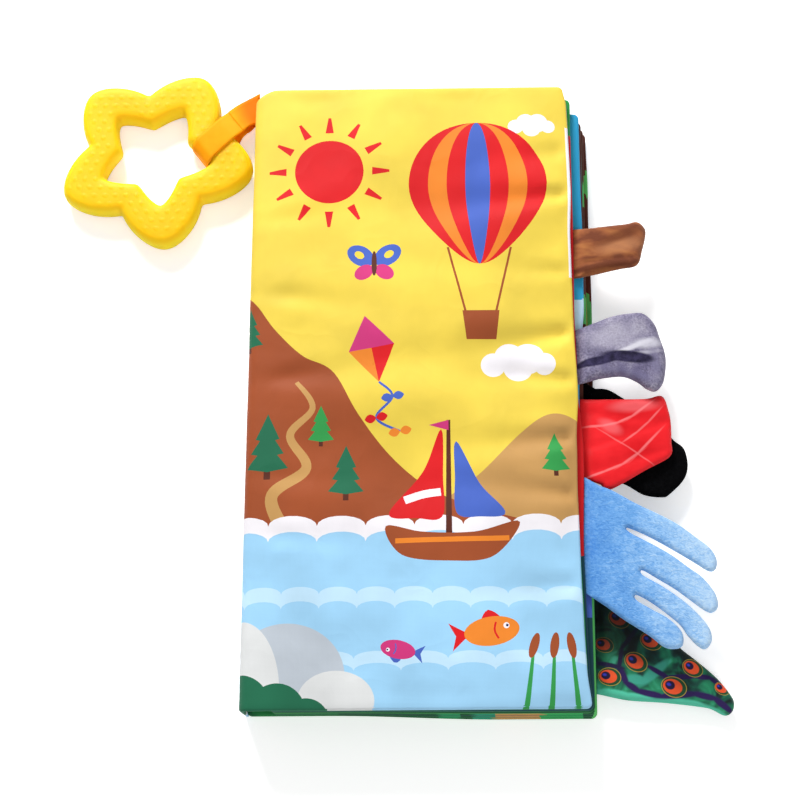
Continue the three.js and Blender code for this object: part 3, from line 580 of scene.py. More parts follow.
def kite(x, y, size, turn):
    """A kite in three colours with a tail of bows."""
    rotate = Matrix.Rotation(turn, 2)
    centre = Vector((x, y))
    corners = [centre + rotate @ Vector(c) * size for c in ((0, 1.2), (0.8, 0), (0, -1.3), (-0.8, 0))]
    colors = (MAGENTA, RED, ORANGE, MAGENTA)
    shapes = [([centre, corners[i], corners[(i + 1) % 4]], color) for i, color in enumerate(colors)]
    tail = [corners[2]]
    for k, sway in ((1, 0.35), (2, -0.35), (3, 0.35)):
        tail.append(corners[2] + rotate @ Vector((sway * size, -0.62 * k * size)))
    shapes.append((stroke(tail, 0.9), BLUE))
    for point, color in zip(tail[1:], (BLUE, RED, ORANGE)):
        for way in (math.pi, 0):
            shapes.append((leaf_shape(*point, size * 0.4, size * 0.3, turn + way), color))
    return shapes


def fish(x, y, size, body, fin, turn):
    def at(*places):
        return [Vector((x, y)) + Matrix.Rotation(turn, 2) @ (Vector(place) * size) for place in places]

    return [
        (at((-0.8, 0), (-1.5, 0.5), (-1.3, 0), (-1.5, -0.5)), fin),
        (blob(at((-0.3, 0.4), (0, 0.78), (0.4, 0.4))), fin),
        (ellipse(x, y, size, size * 0.52, turn), body),
        (ellipse(*at((0.55, 0.12))[0], size * 0.11), WHITE),
        (ellipse(*at((0.58, 0.12))[0], size * 0.05), NAVY),
        (stroke(at((0.2, 0.3), (0.1, 0), (0.2, -0.3)), size * 0.07), fin),
    ]


def mushroom(x, y, size, cap):
    stem = scaled(x, y, size, (-0.25, 0), (-0.2, 1), (0.2, 1), (0.25, 0), (0, -0.08))
    turns = [math.pi * i / 20 for i in range(21)]
    dome = scaled(x, y, size, *((math.cos(a), 0.85 + 0.8 * math.sin(a)) for a in turns))
    dots = [(-0.45, 1.15, 0.14), (0.1, 1.35, 0.18), (0.5, 1.08, 0.12)]
    shapes = [(blob(stem), WHITE), (dome, cap)]
    return shapes + [(ellipse(x + a * size, y + b * size, c * size), WHITE) for a, b, c in dots]


def butterfly(x, y, size, color, second):
    shapes = []
    for side in (-1, 1):
        for a, b, rx, ry, turn, shade in (
            (0.5, 0.32, 0.55, 0.38, 0.6, color),
            (0.38, -0.35, 0.38, 0.28, -0.6, second),
            (0.55, 0.36, 0.2, 0.14, 0.6, YELLOW),
        ):
            wing = ellipse(x + side * a * size, y + b * size, rx * size, ry * size, side * turn)
            shapes.append((wing, shade))
    return shapes + [(ellipse(x, y, size * 0.1, size * 0.5), DARK_BROWN)]


def fir(x, y, size, color=DARK_GREEN):
    """A fir tree of three pointed tiers. y is the foot of its trunk."""
    shapes = [(stroke([(x, y), (x, y + size * 0.4)], size * 0.13), DARK_BROWN)]
    for k in range(3):
        low, half = y + size * (0.22 + 0.3 * k), size * (0.42 - 0.09 * k)
        tier = [(x - half, low), (x, low - size * 0.07), (x + half, low), (x, low + size * 0.52)]
        shapes.append((tier, color))
    return shapes


def cover_print():
    """The front cover: a lake with a sailing boat under brown hills, a balloon, a sun and a kite."""
    shapes = sun(-31, 82, 13, RED) + cloud(38, 4, 9) + cloud(46, 100, 6) + balloon(25, 76, 26)
    far_hill = [(75, -34), (62, -20), (50, -15), (38, -22), (24, -36), (8, -48), (-6, -60)]
    shapes.append(([(75, -70)] + smooth_path(far_hill, PRINT_STEP), TAN))
    near_hill = [(-90, 26), (-72, 33), (-60, 31), (-50, 18), (-40, 8), (-29, 2), (-20, -14), (-8, -30),
                 (6, -42), (22, -49), (40, -54)]
    shapes.append((smooth_path(near_hill, PRINT_STEP) + [(40, -70), (-90, -70)], BROWN))
    path = [(-46, -56), (-50, -44), (-38, -34), (-44, -22), (-36, -12), (-42, -2)]
    shapes.append((stroke(path, 5.0, 1.6), TAN))
    shapes += fir(-60, 10, 13) + fir(-52, -38, 18) + fir(-24, -46, 15) + fir(-33, -26, 11, GREEN)
    shapes += fir(50, -38, 12, GREEN) + kite(-15, 11, 10.5, 0.2) + butterfly(-14, 44, 10, BLUE, MAGENTA)
    shapes += [(scallops(-55, 3.5, 8.5), WHITE), (scallops(-60.5, 3.5, 8.5), SKY)]
    shapes += sailing_boat(12, -62, 22)
    for top, depth, radius, color in (
        (-74, 3.0, 6.5, SKY), (-79, 2.6, 6.5, PALE_SKY), (-84, 2.6, 6.5, SKY),
        (-101, 2.6, 8, PALE_SKY), (-105, 2.6, 8, SKY),
    ):
        shapes.append((scallops(top, depth, radius), color))
    shapes += fish(26, -92, 9.5, ORANGE, RED, 0.15) + fish(-6, -98, 6, MAGENTA, BLUE, math.pi - 0.2)
    for x, y, rx, ry, color in (
        (-44, -107, 20, 18, GREY), (-60, -112, 14, 24, PALE_GREY), (-27, -115, 13, 10, PALE_GREY),
        (-60, -117, 11, 11, DARK_GREEN), (-47, -119, 10, 10, DARK_GREEN), (-37, -122, 8, 8, DARK_GREEN),
    ):
        shapes.append((ellipse(x, y, rx, ry), color))
    for x, lean in ((36, 4), (45, 2), (55, -2)):
        shapes.append((stroke([(x, -124), (x + lean / 2, -112), (x + lean, -98)], 2.2, 0.9), GREEN))
        shapes.append((ellipse(x + lean * 1.05, -97, 1.5, 4.4, -0.08 * lean), BROWN))
    # The cloth's unprinted edge shows white along part of the free edge
    edge = [(COVER_HIGH.x - 1.25 + along_table(COVER_EDGE, y), y) for y in range(38, 101, 2)]
    shapes.append((edge + [(66, 100), (66, 38)], WHITE))
    return YELLOW, shapes


def garden(ground, low, stems, blooms):
    """A page with a wavy lower band, stems and flowers."""
    shapes = [(band(-62, wave=4, period=70), low)]
    for i, (x, y) in enumerate(stems):
        shapes.append((stroke([(x * 0.6, -90), (x * 0.9, (y - 90) / 2), (x, y)], 2.4), DARK_GREEN))
        for side in (-1, 1):
            shapes.append((leaf_shape(x * 0.85, (y - 70) / 2, 14, 7, math.pi / 2 - side * 0.9), GREEN))
        shapes += flower(x, y, 15, *blooms[i % len(blooms)], 0.3 * i)
    return ground, shapes


def reef(ground, low):
    """A page under water, with fish and bubbles."""
    shapes = [(band(-70, wave=5, period=60), low)]
    shapes += fish(-12, 62, 17, ORANGE, RED, 0.1) + fish(18, 8, 14, YELLOW, ORANGE, math.pi - 0.1)
    shapes += fish(-20, -38, 12, MAGENTA, BLUE, 0.2)
    shapes += [(ellipse(34 - 5 * (k % 3), 40 + 9 * k, 3.4 - 0.3 * k), PALE_SKY) for k in range(7)]
    for x in (-40, -8, 30):
        shapes.append((stroke([(x, -112), (x + 5, -92), (x - 2, -74), (x + 4, -60)], 5, 1.5), DARK_GREEN))
    return ground, shapes


def meadow(ground, low, cap):
    """A page with mushrooms and butterflies."""
    shapes = [(band(-48, wave=5, period=80, slope=0.1), low)]
    shapes += mushroom(-16, -52, 24, cap) + mushroom(24, -70, 17, ORANGE)
    shapes += butterfly(18, 52, 22, BLUE, MAGENTA) + butterfly(-26, 84, 14, ORANGE, RED)
    return ground, shapes


def page_prints():
    """The prints of the inner pages by cloth node."""
    prints = {
        "leaf_1_front_cloth": garden(
            RED, DEEP_TEAL, [(-22, 20), (24, -6)], [(YELLOW, BROWN), (WHITE, ORANGE)]
        ),
        "leaf_1_back_cloth": meadow(YELLOW, GREEN, RED),
        "leaf_2_front_cloth": reef(CYAN, BLUE),
        "leaf_2_back_cloth": garden(SKY, LIGHT_GREEN, [(-20, 36), (22, 4)], [(MAGENTA, YELLOW)]),
        "leaf_3_front_cloth": meadow(DARK_BROWN, LIGHT_GREEN, MAGENTA),
        "leaf_3_back_cloth": reef(TEAL, NAVY),
        "leaf_4_front_cloth": garden(DARK_BROWN, DARK_GREEN, [(-18, 44), (26, 14)], [(ORANGE, RED)]),
        "leaf_4_back_cloth": meadow(ORANGE, DARK_GREEN, BLUE),
        "back_cover_inner_cloth": reef(DARK_BROWN, LIGHT_GREEN),
        "back_cover_outer_cloth": meadow(SKY, GREEN, RED),
        "front_cover_inner_cloth": garden(PALE_SKY, GREEN, [(-24, 30), (20, -2)], [(RED, YELLOW)]),
    }
    prints["leaf_1_front_cloth"][1].insert(0, (band(130, 101), GREEN))
    # Patches of other colours near the free edge, which show at the leaves' edges
    for node, top, bottom, color in (
        ("leaf_2_front_cloth", 32, 14, PALE_SKY),
        ("leaf_2_front_cloth", -86, PRINT_FOOT, DEEP_TEAL),
        ("leaf_3_front_cloth", 36, 24, LIGHT_GREEN),
        ("leaf_4_front_cloth", 88, 75, LIGHT_GREEN),
        ("leaf_4_front_cloth", 36, 24, LIGHT_GREEN),
    ):
        prints[node][1].append((band(top, bottom, left=56), color))
    prints["leaf_2_front_cloth"][1].append((band(-113), DEEP_GREEN))
    corner = [(60, 41), (66, 39.5), (70.5, 27), (70.5, 23), (60, 23)]
    corner_patches = [(corner, LIGHT_GREEN), (ellipse(70.3, 90, 4.6, 8.6), LIGHT_GREEN)]
    prints["back_cover_inner_cloth"][1].extend(corner_patches)
    # The lower pages' foot edges: dark green with patches of tan and brighter greens
    for node in ("leaf_3_front_cloth", "leaf_4_front_cloth", "back_cover_inner_cloth"):
        for left, right, color in (
            (-85, 75, DEEP_GREEN), (-56, -26, "#1e7a3e"), (8, 15, "#2a9c62"), (20, 27, "#2a9c78"),
            (27, 43, TAN), (43, 57, "#2fb05c"), (61, 75, LIGHT_GREEN),
        ):
            prints[node][1].append((band(-113, left=left, right=right), color))
    prints["back_cover_outer_cloth"][1].extend(cloud(0, 98, 11) + cloud(-34, 20, 8))
    return prints


def print_colors(obj, flat_points, design):
    """Gives each face the colour of the topmost shape over its middle."""
    ground, shapes = design
    layers = []
    for outline, color in reversed(shapes):
        points = flat_array(outline)
        layers.append((points, points.min(0), points.max(0), srgb(color)))
    values = np.empty((len(obj.data.loops), 4), np.float32)
    for polygon in obj.data.polygons:
        x, y = (sum(flat_points[i][k] for i in polygon.vertices) / 3 for k in (0, 1))
        color = srgb(ground)
        for points, low, high, shape_color in layers:
            if low[0] <= x <= high[0] and low[1] <= y <= high[1] and inside(points, x, y):
                color = shape_color
                break
        for loop in polygon.loop_indices:
            values[loop] = color
    attribute = obj.data.color_attributes.new("print", "FLOAT_COLOR", "CORNER")
    attribute.data.foreach_set("color", values.ravel())


# Padded panels

def ease(share):
    """0 up to share 0, 1 from share 1 on and smooth between."""
    share = min(max(share, 0.0), 1.0)
    return share * share * (3 - 2 * share)


def along_table(table, y):
    """The value at y of a table of (y, value) pairs that runs down from the head."""
    for (high, first), (low, second) in zip(table, table[1:]):
        if y >= low:
            return first + (second - first) * ease((high - y) / (high - low))
    return table[-1][1]


def rounded_rectangle(left, right, half_height, radius, grow, step, open_left, skew):
    """Outline of a panel's cloth, grown by a length. With open_left the left end is cut square and
    doesn't grow. skew moves a point along X."""
    x, y = right - radius, half_height - radius
    corners = [(x, -y), (x, y)]
    if not open_left:
        corners += [(left + radius, y), (left + radius, -y)]
    points = []
    for quarter, corner in enumerate(corners):
        for i in range(7):
            angle = (quarter - 1 + i / 6) * math.pi / 2
            points.append(Vector(corner) + (radius + grow) * Vector((math.cos(angle), math.sin(angle))))
    if open_left:
        points.append(Vector((left, half_height + grow)))
        points.insert(0, Vector((left, -half_height - grow)))
    sampled = []
    for a, b in zip(points, points[1:] + ([] if open_left else points[:1])):
        count = max(1, round((b - a).length / step))
        sampled += [a.lerp(b, i / count) for i in range(count)]
    if open_left:
        sampled.append(points[-1])
    return [Vector((point.x + skew(point.x, point.y), point.y)) for point in sampled]


# How far the free edges lie off their straight lines, from head to foot
COVER_EDGE = [(118, -1.2), (110, 0.0), (74, 0.1), (54, -0.7), (18, -1.2), (-5, -0.8), (-25, -2.0),
              (-46, -2.5), (-70, -2.5), (-90, -2.2), (-105, -2.0), (-118, -1.0)]
EDGES = {
    FRONT_PANEL: COVER_EDGE,
    leaf_panel(1): [(118, 0.9), (100, 0.3), (85, 0.0), (10, -1.2), (-3, -1.6), (-27, -0.4), (-67, -2.0),
                    (-105, -1.8), (-118, -1.0)],
    leaf_panel(2): [(118, 0.0), (30, 0.0), (12, -1.6), (-5, -2.8), (-36, -3.7), (-60, -1.8), (-80, -0.5),
                    (-118, -0.6)],
    leaf_panel(3): [(118, 0.0), (20, 0.0), (4, -1.8), (-36, -1.8), (-60, 0.0), (-118, 0.0)],
    0: [(118, 0.2), (80, 0.9), (36, 1.4), (10, 1.2), (-40, 0.0), (-118, 0.0)],
}
COVER_SAG = 3.2
# How far the head's free corner hangs down, from the back cover to the first leaf
PANEL_SAGS = [10.5, 10.5, 9.5, 8.0, 3.6]
FOOT_SLIP = 1.6  # how far the back cover's foot lies past the front cover's at the free corner
CROWN = 0.9
CROWN_INSET = 12.0
WRAP_RADIUS = HINGE.x - SPINE_X
WRAP_END = HINGE.z - 0.6
BILLOW = 1.3
DIMPLES = 0.2
PAGE_WAVES = 0.10
SPINE_HOLD = 0.12  # how much of the relief is left where the cloth turns round the spine
FOLD_DEPTH = 1.5
# The cover's soft creases: place on the edge, slope, depth, width and reach inwards
COVER_FOLDS = [
    (60, 90, -0.12, 1.0, 3.4, 36),
    (60, 72, -0.10, 1.9, 2.8, 36),
    (60, 40, 0.06, 1.0, 2.6, 26),
    (60, 16.5, -0.16, 2.0, 2.9, 42),
    (60, -2.4, 0.10, 1.6, 2.5, 30),
    (60, -23.6, -0.05, 1.9, 2.8, 36),
    (60, -44.8, 0.12, 1.6, 2.7, 32),
    (60, -76, -0.08, 1.1, 2.9, 26),
    (-58, 62, 0.10, 0.9, 2.7, 24),
    (-58, 33, -0.12, 1.5, 2.8, 32),
    (-58, -1, 0.10, 1.4, 2.7, 30),
    (-58, -36, -0.10, 0.9, 2.8, 26),
    (-58, -58, -0.06, 1.0, 2.8, 26),
]


def fold_height(u, v, fold):
    """Height of a soft crease: a valley between two low ridges."""
    u0, v0, slope, depth, width, reach = fold
    run = u0 - u if u0 > 0 else u - u0
    if run < -3:
        return 0.0
    across = (v - v0 - slope * run) / (width * (1 + 0.03 * max(run, 0)))
    valley = 1.2 * math.exp(-across * across) - 0.5 * math.exp(-across * across / 6)
    return -FOLD_DEPTH * depth * valley * math.exp(-max(run, 0) / reach)


class Panel:
    """The shape of one cloth of a padded panel, over flat sheet coordinates u, v in millimetres."""

    def __init__(self, number, side):
        """Side 1 is the panel's upper cloth and side -1 its lower one."""
        body = panel_body(number)
        node = f"{body}_outer_cloth" if number in (0, FRONT_PANEL) else f"{body}_front_cloth"
        # The frame gives the right edge at the head, where the lower panels flare
        self.flare = HEAD_FLARE + FLARE_STEP * (leaf_panel(2) - number) if number < leaf_panel(1) else 0.0
        self.left = PANEL_LEFT if number else BACK_LEFT
        self.right = box_mm(node)[1].x - self.flare
        self.number = number
        self.side = side
        self.cover_face = self.wraps = number == FRONT_PANEL and side > 0
        self.middle = panel_middle(number)
        self.seed = number * 7.3 + side * 2.1
        self.quarter = EDGE_ROUND * math.pi / 2
        self.drop = PANEL_THICKNESS / 2 - EDGE_ROUND - SEAM_GAP / 2
        self.border = self.quarter + self.drop + RIM
        self.sheet_left = self.left
        if self.wraps:
            self.wrap_drop = self.middle + PANEL_THICKNESS / 2 - HINGE.z - WRAP_RADIUS
            self.over_seam = math.hypot(PANEL_LEFT - HINGE.x, self.wrap_drop)
            self.arc = WRAP_RADIUS * math.pi / 2
            self.sheet_left = self.left - self.over_seam - self.arc - WRAP_END

    def skew(self, x, y):
        """Sideways shift of the free edge, wider at the head and slightly wavy."""
        share = min(max((x - self.left) / (self.right - self.left), 0), 1.05)
        flare = self.flare * (y + HALF_HEIGHT) / (2 * HALF_HEIGHT)
        wave = 0.35 * noise.noise(Vector((self.seed, y / 38, 0)))
        if self.number in EDGES:
            wave += along_table(EDGES[self.number], y)
        return share**2 * wave + share * flare

    def sag(self, x, y):
        """How far the cloth near the head's corners hangs back towards the foot."""
        if self.number == FRONT_PANEL:
            return COVER_SAG * ease((PANEL_LEFT - 2 - x) / 9) * ease((y - 92) / 26)
        drop = PANEL_SAGS[self.number] * ease((x - self.right + 40) / 40) * ease((y - 66) / 52)
        slip = FOOT_SLIP * (1 - self.number / FRONT_PANEL) * ease((x + 30) / 60)
        return drop + slip * ease((-y - 40) / 78)

    def free_edge(self, y):
        """Where the panel's free edge lies at a place along the book."""
        return self.right + self.skew(self.right, y)

    def unskewed(self, u, v):
        """The sheet's own u of a skewed place."""
        x = u
        for _ in range(3):
            x = u - self.skew(x, v)
        return x

    def outline(self, grow, step):
        left = self.sheet_left if self.wraps else self.left + EDGE_ROUND
        return rounded_rectangle(
            left, self.right - EDGE_ROUND, HALF_HEIGHT - EDGE_ROUND, CORNER_RADIUS - EDGE_ROUND,
            grow, step, self.wraps, self.skew,
        )

    def nearest(self, u, v):
        """The nearest place of the flat part, the way out from it and how far out u, v lies."""
        left = -1e3 if self.wraps else self.left + CORNER_RADIUS
        top = HALF_HEIGHT - CORNER_RADIUS
        core = Vector((min(max(u, left), self.right - CORNER_RADIUS), min(max(v, -top), top)))
        out = Vector((u, v)) - core
        radius = CORNER_RADIUS - EDGE_ROUND
        if out.length <= radius:
            return Vector((u, v)), Vector((0, 0)), 0.0
        way = out.normalized()
        return core + way * radius, way, out.length - radius

    def edge_distance(self, u, v):
        """How far inside the flat part's edge a place lies."""
        x = self.right - EDGE_ROUND - u
        if not self.wraps:
            x = min(x, u - self.left - EDGE_ROUND)
        return max(0.0, min(x, HALF_HEIGHT - EDGE_ROUND - abs(v)))

    def relief(self, u, v):
        """Height of crown, creases and billows over the flat face."""
        edge = self.edge_distance(u, v)
        fade = ease(edge / 5)
        if not self.cover_face:
            return PAGE_WAVES * fade * noise.noise(Vector((u / 21, v / 21, self.seed)))
        crown = CROWN * (1 - (1 - min(edge / CROWN_INSET, 1)) ** 2.2)
        billow = BILLOW * noise.noise(Vector((u / 34, v / 22, self.seed)))
        small = DIMPLES * noise.noise(Vector((u / 12, v / 9, self.seed + 3)))
        folds = sum(fold_height(u, v, fold) for fold in COVER_FOLDS)
        loose = SPINE_HOLD + (1 - SPINE_HOLD) * ease((u - self.left + 6) / 14)
        return loose * (crown + fade * (billow + small) + min(1, 0.35 + fade) * folds * min(edge / 2, 1))

    def profile(self, u):
        """Place, way along and way out of the face in XZ at sheet coordinate u."""
        top = self.middle + self.side * PANEL_THICKNESS / 2
        if not self.wraps or u >= self.left:
            return Vector((u, 0, top)), Vector((1, 0, 0)), Vector((0, 0, self.side))
        run = self.left - u
        if run < self.over_seam:
            share = run / self.over_seam
            x = self.left + (HINGE.x - self.left) * share
            return Vector((x, 0, top - self.wrap_drop * ease(share))), Vector((1, 0, 0)), Vector((0, 0, 1))
        run -= self.over_seam
        if run < self.arc:
            angle = math.pi / 2 + run / WRAP_RADIUS
            way_out = Vector((math.cos(angle), 0, math.sin(angle)))
            along = Vector((math.sin(angle), 0, -math.cos(angle)))
            return Vector((HINGE.x, 0, HINGE.z)) + WRAP_RADIUS * way_out, along, way_out
        run -= self.arc
        return Vector((SPINE_X, 0, HINGE.z - run)), Vector((0, 0, 1)), Vector((-1, 0, 0))

    def place(self, u, v, depth):
        """The point of the cloth at sheet coordinates u, v, depth under its outer face."""
        x = self.unskewed(u, v)
        flat, way, out = self.nearest(x, v)
        base, along, up = self.profile(flat.x)
        side_way = along * way.x + Vector((0, way.y, 0))
        skewed = self.skew(flat.x, flat.y) if not self.wraps or flat.x > self.left else 0.0
        base = base + Vector((skewed, flat.y - self.sag(flat.x, flat.y), 0))
        if out < self.quarter:
            angle = out / EDGE_ROUND
            lift = self.relief(flat.x, flat.y) * math.cos(angle)
            radius = EDGE_ROUND - depth
            rise = radius * math.cos(angle) - EDGE_ROUND + lift
            return base + side_way * radius * math.sin(angle) + up * rise
        if out < self.quarter + self.drop:
            down = EDGE_ROUND + out - self.quarter
            return base + side_way * (EDGE_ROUND - depth) - up * down
        back = out - self.quarter - self.drop
        return base + side_way * (EDGE_ROUND - depth - back) - up * (EDGE_ROUND + self.drop - depth)

    def cloth(self, name, design, material, spacing):
        """The cloth as a thin closed mesh with its printed colours."""
        step = spacing * 1.2
        grows = [self.quarter * k / 3 for k in range(4)] + [self.quarter + self.drop]
        lines = [(self.outline(grow, step), not self.wraps) for grow in grows]
        for shape, _ in design[1]:
            lines += clip_line(shape, self.sheet_left + 0.2, self.right + 3.5, HALF_HEIGHT - 0.5)
        flat, triangles = fill_outline(self.outline(self.border, step), spacing, lines)
        points = [self.place(p.x, p.y, depth) for depth in (0.0, CLOTH) for p in flat]
        made = make_mesh(name, points, closed_faces(triangles, len(flat)), material)
        print_colors(made, flat + flat, design)
        return face_out(made)


def clip_line(points, left, right, half_height):
    """The stretches of a closed outline that lie on the sheet, as (points, closed) lines."""
    count = len(points)
    keep = [left < p[0] < right and abs(p[1]) < half_height for p in points]
    if all(keep):
        return [(points, True)]
    stretches, current = [], []
    start = keep.index(False)
    for k in range(count + 1):
        i = (start + k) % count
        if keep[i]:
            current.append(points[i])
        elif current:
            stretches.append(current)
            current = []
    return [(stretch, False) for stretch in stretches if len(stretch) > 1]


# How far apart the points of a cloth's mesh lie
COVER_SPACING = 1.8
PAGE_SPACING = 5.0


def padded_panels():
    prints = page_prints()
    material = printed_cloth()
    for number in range(FRONT_PANEL + 1):
        body = panel_body(number)
        upper = {0: "inner_cloth", FRONT_PANEL: "outer_cloth"}.get(number, "front_cloth")
        lower = {0: "outer_cloth", FRONT_PANEL: "inner_cloth"}.get(number, "back_cloth")
        for side, kind in ((1, upper), (-1, lower)):
            node = f"{body}_{kind}"
            panel = Panel(number, side)
            design = cover_print() if panel.cover_face else prints[node]
            spacing = COVER_SPACING if panel.cover_face else PAGE_SPACING
            made = panel.cloth(f"{node}_print", design, material, spacing)
            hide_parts(node)
            if panel.cover_face:
                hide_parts("spine_cloth")
                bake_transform(made)
            else:
                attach(made, body)


LAYER_CORNER = 3.0
LAYER_GAP = 0.12
LAYER_INSET = 3.0
# Places round a point where the cloth over a layer is measured
LAYER_PROBES = ((0, 0), (2.5, 0), (-2.5, 0), (0, 2.5), (0, -2.5))
COVER_LAYER_SPACING = 2.8
PAGE_LAYER_SPACING = 6.5
WADDING_DEPTH = 0.95
WADDING_THICKNESS = 0.7
FILM_DEPTH = 1.8
FILM_THICKNESS = 0.25


def layer(name, panel, depth, thickness, spacing, material):
    """A layer inside a panel, depth under the lowest place of the upper cloth near by."""
    outline = rounded_rectangle(
        panel.left + LAYER_INSET, panel.right - LAYER_INSET, HALF_HEIGHT - LAYER_INSET, LAYER_CORNER,
        0.0, spacing, False, panel.skew,
    )
    flat, triangles = fill_outline(outline, spacing)
    lowest = panel.middle - PANEL_THICKNESS / 2 + CLOTH + LAYER_GAP
    points = []
    for run in (0.0, thickness):
        for place in flat:
            near = [panel.place(place.x + a, place.y + b, depth + run) for a, b in LAYER_PROBES]
            low = max(min(point.z for point in near), lowest + thickness - run)
            points.append((near[0].x, near[0].y, low))
    return face_out(make_mesh(name, points, closed_faces(triangles, len(flat)), material))


def fillings():
    """The wadding and the crackling film inside each panel."""
    wadding = wadding_fleece()
    film = crinkle_film()
    for number in range(FRONT_PANEL + 1):
        panel = Panel(number, 1)
        body = panel_body(number)
        spacing = COVER_LAYER_SPACING if panel.cover_face else PAGE_LAYER_SPACING
        padding = layer(f"{body}_padding", panel, WADDING_DEPTH, WADDING_THICKNESS, spacing, wadding)
        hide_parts(f"{body}_wadding")
        crackling = layer(f"{body}_crackling_film", panel, FILM_DEPTH, FILM_THICKNESS, spacing, film)
        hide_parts(f"{body}_crinkle_film")
        for piece in (padding, crackling):
            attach(piece, body)


SEAM_STEP = 4


def strip_mesh(name, section, material, sway):
    """A strip of constant section along the spine: section is a closed line of (x, z) places."""
    steps = round(2 * SEAM_HALF / SEAM_STEP)
    count = len(section)
    points = []
    for i in range(steps + 1):
        y = -SEAM_HALF + 2 * SEAM_HALF * i / steps
        for x, z in section:
            wave = sway * noise.noise(Vector((x / 5, y / 9, z / 5)))
            points.append((x + wave, y, z + wave))
    faces = [list(range(count))[::-1], [steps * count + k for k in range(count)]]
    for i in range(steps):
        for k in range(count):
            a, b = i * count + k, i * count + (k + 1) % count
            faces.append([a, b, b + count, a + count])
    return face_out(make_mesh(name, points, faces, material))


def hem_path(number):
    """Middle line in XZ of the strip that ties a panel to the rolled seam."""
    if number == 0:
        return [(HINGE.x, HINGE.z - HEM_RADIUS), (HINGE.x, PANEL_THICKNESS + 0.3)]
    angle = math.radians(HEM_BOTTOM + (HEM_TOP - HEM_BOTTOM) * number / FRONT_PANEL)
    start = polar(HINGE.x, HINGE.z, HEM_RADIUS, angle)
    return [start, (PANEL_LEFT - 1.2, panel_middle(number)), (PANEL_LEFT - 0.3, panel_middle(number))]


def spine_seam():
    """The rolled seam at the spine and the cloth strips that tie the covers and leaves to it."""
    cloth = seam_cloth()
    for number in range(FRONT_PANEL + 1):
        path = smooth_path(hem_path(number), 0.8)
        upper, lower = [], []
        for i, point in enumerate(path):
            along = heading(path, i)
            out = Vector((-along.y, along.x)) * HEM_THICKNESS / 2
            upper.append(point + out)
            lower.append(point - out)
        body = panel_body(number)
        hem = strip_mesh(f"{body}_sewn_strip", upper + lower[::-1], cloth, 0.08)
        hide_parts(f"{body}_spine_hem")
        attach(hem, body)
    # The roll's section is a spiral that ends in a small step
    shares = [i / 28 for i in range(28)]
    turns = [(SEAM_RADIUS - 0.45 * share, 2 * math.pi * share + 1.2) for share in shares]
    roll = strip_mesh("rolled_seam", [polar(HINGE.x, HINGE.z, *turn) for turn in turns], cloth, 0.12)
    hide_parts("spine_rolled_seam")
    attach(roll, "back_cover")


padded_panels()
fillings()
spine_seam()


# Tails

def brown_velour():
    nodes = Nodes("brown_velour_pile", roughness=0.8, sheen=0.12, specular=0.12)
    brushed = nodes.noise(9.0, stretch=(0.7, 1.7, 1.0), distortion=0.6)
    color = nodes.ramp(brushed, [(0.36, "#753f29"), (0.5, "#965734"), (0.64, "#b0703f")])
    # A painted highlight on a crease's ridge and painted shade in two creases
    for centre, radii, turn, soft, shade, most in (
        ((78.0, 52.5), (8.5, 2.6), 0.25, 0.7, "#c08258", 0.7),
        ((69.5, 44.0), (13.0, 1.3), 0.2, 0.55, "#5f2e19", 0.9),
        ((78.0, 56.5), (9.0, 1.8), 0.42, 0.6, "#6f3a20", 0.85),
    ):
        color = nodes.tint(color, shade, nodes.spot(centre, radii, turn, soft), most)
    pile(nodes, 0.5, 0.15)
    return nodes.color(color)


def grey_plush():
    nodes = Nodes("grey_plush_pile", roughness=0.9, sheen=0.15, specular=0.1)
    brushed = nodes.noise(7.0, detail=2.0)
    shades = nodes.ramp(brushed, [(0.34, "#777190"), (0.5, "#928ca7"), (0.66, "#aca7bb")])
    speckle = nodes.ramp(nodes.noise(0.7, detail=4.0), [(0.32, "#b4b2bd"), (0.68, "#ffffff")])
    color = nodes.mix(1.0, shades, speckle, "MULTIPLY")
    for centre, radii, turn, shade, most in (
        ((74.0, 16.5), (11.0, 5.0), 0.22, "#c9c5d6", 0.4),
        ((79.5, 11.6), (8.0, 0.9), 0.42, "#dcdae4", 0.9),
        ((86.0, 13.6), (5.0, 2.0), 0.15, "#d6d4df", 0.8),
        ((82.0, 9.4), (8.5, 0.8), 0.20, "#cfccdb", 0.7),
        ((79.0, 1.6), (8.5, 1.6), -0.18, "#7d7899", 0.7),
        ((88.5, 6.0), (1.8, 6.0), 0.15, "#85809e", 0.55),
        ((69.0, 4.4), (1.7, 2.6), 0.25, "#6b6586", 0.6),
        ((75.6, 3.8), (1.7, 2.9), 0.25, "#6b6586", 0.7),
        ((81.3, 3.0), (1.6, 2.8), 0.25, "#6b6586", 0.6),
    ):
        color = nodes.tint(color, shade, nodes.spot(centre, radii, turn, soft=0.6), most)
    dark = nodes.ramp(nodes.noise(2.2, detail=4.0), [(0.35, "#1b1730"), (0.7, "#3a3456")])
    for centre, radii, turn in (((78.5, 8.2), (9.6, 2.3), -0.05), ((67.5, 6.4), (9.0, 1.7), 0.2)):
        color = nodes.mix(nodes.spot(centre, radii, turn, soft=0.2), color, dark)
    pile(nodes, 0.4, 0.3)
    return nodes.color(color)


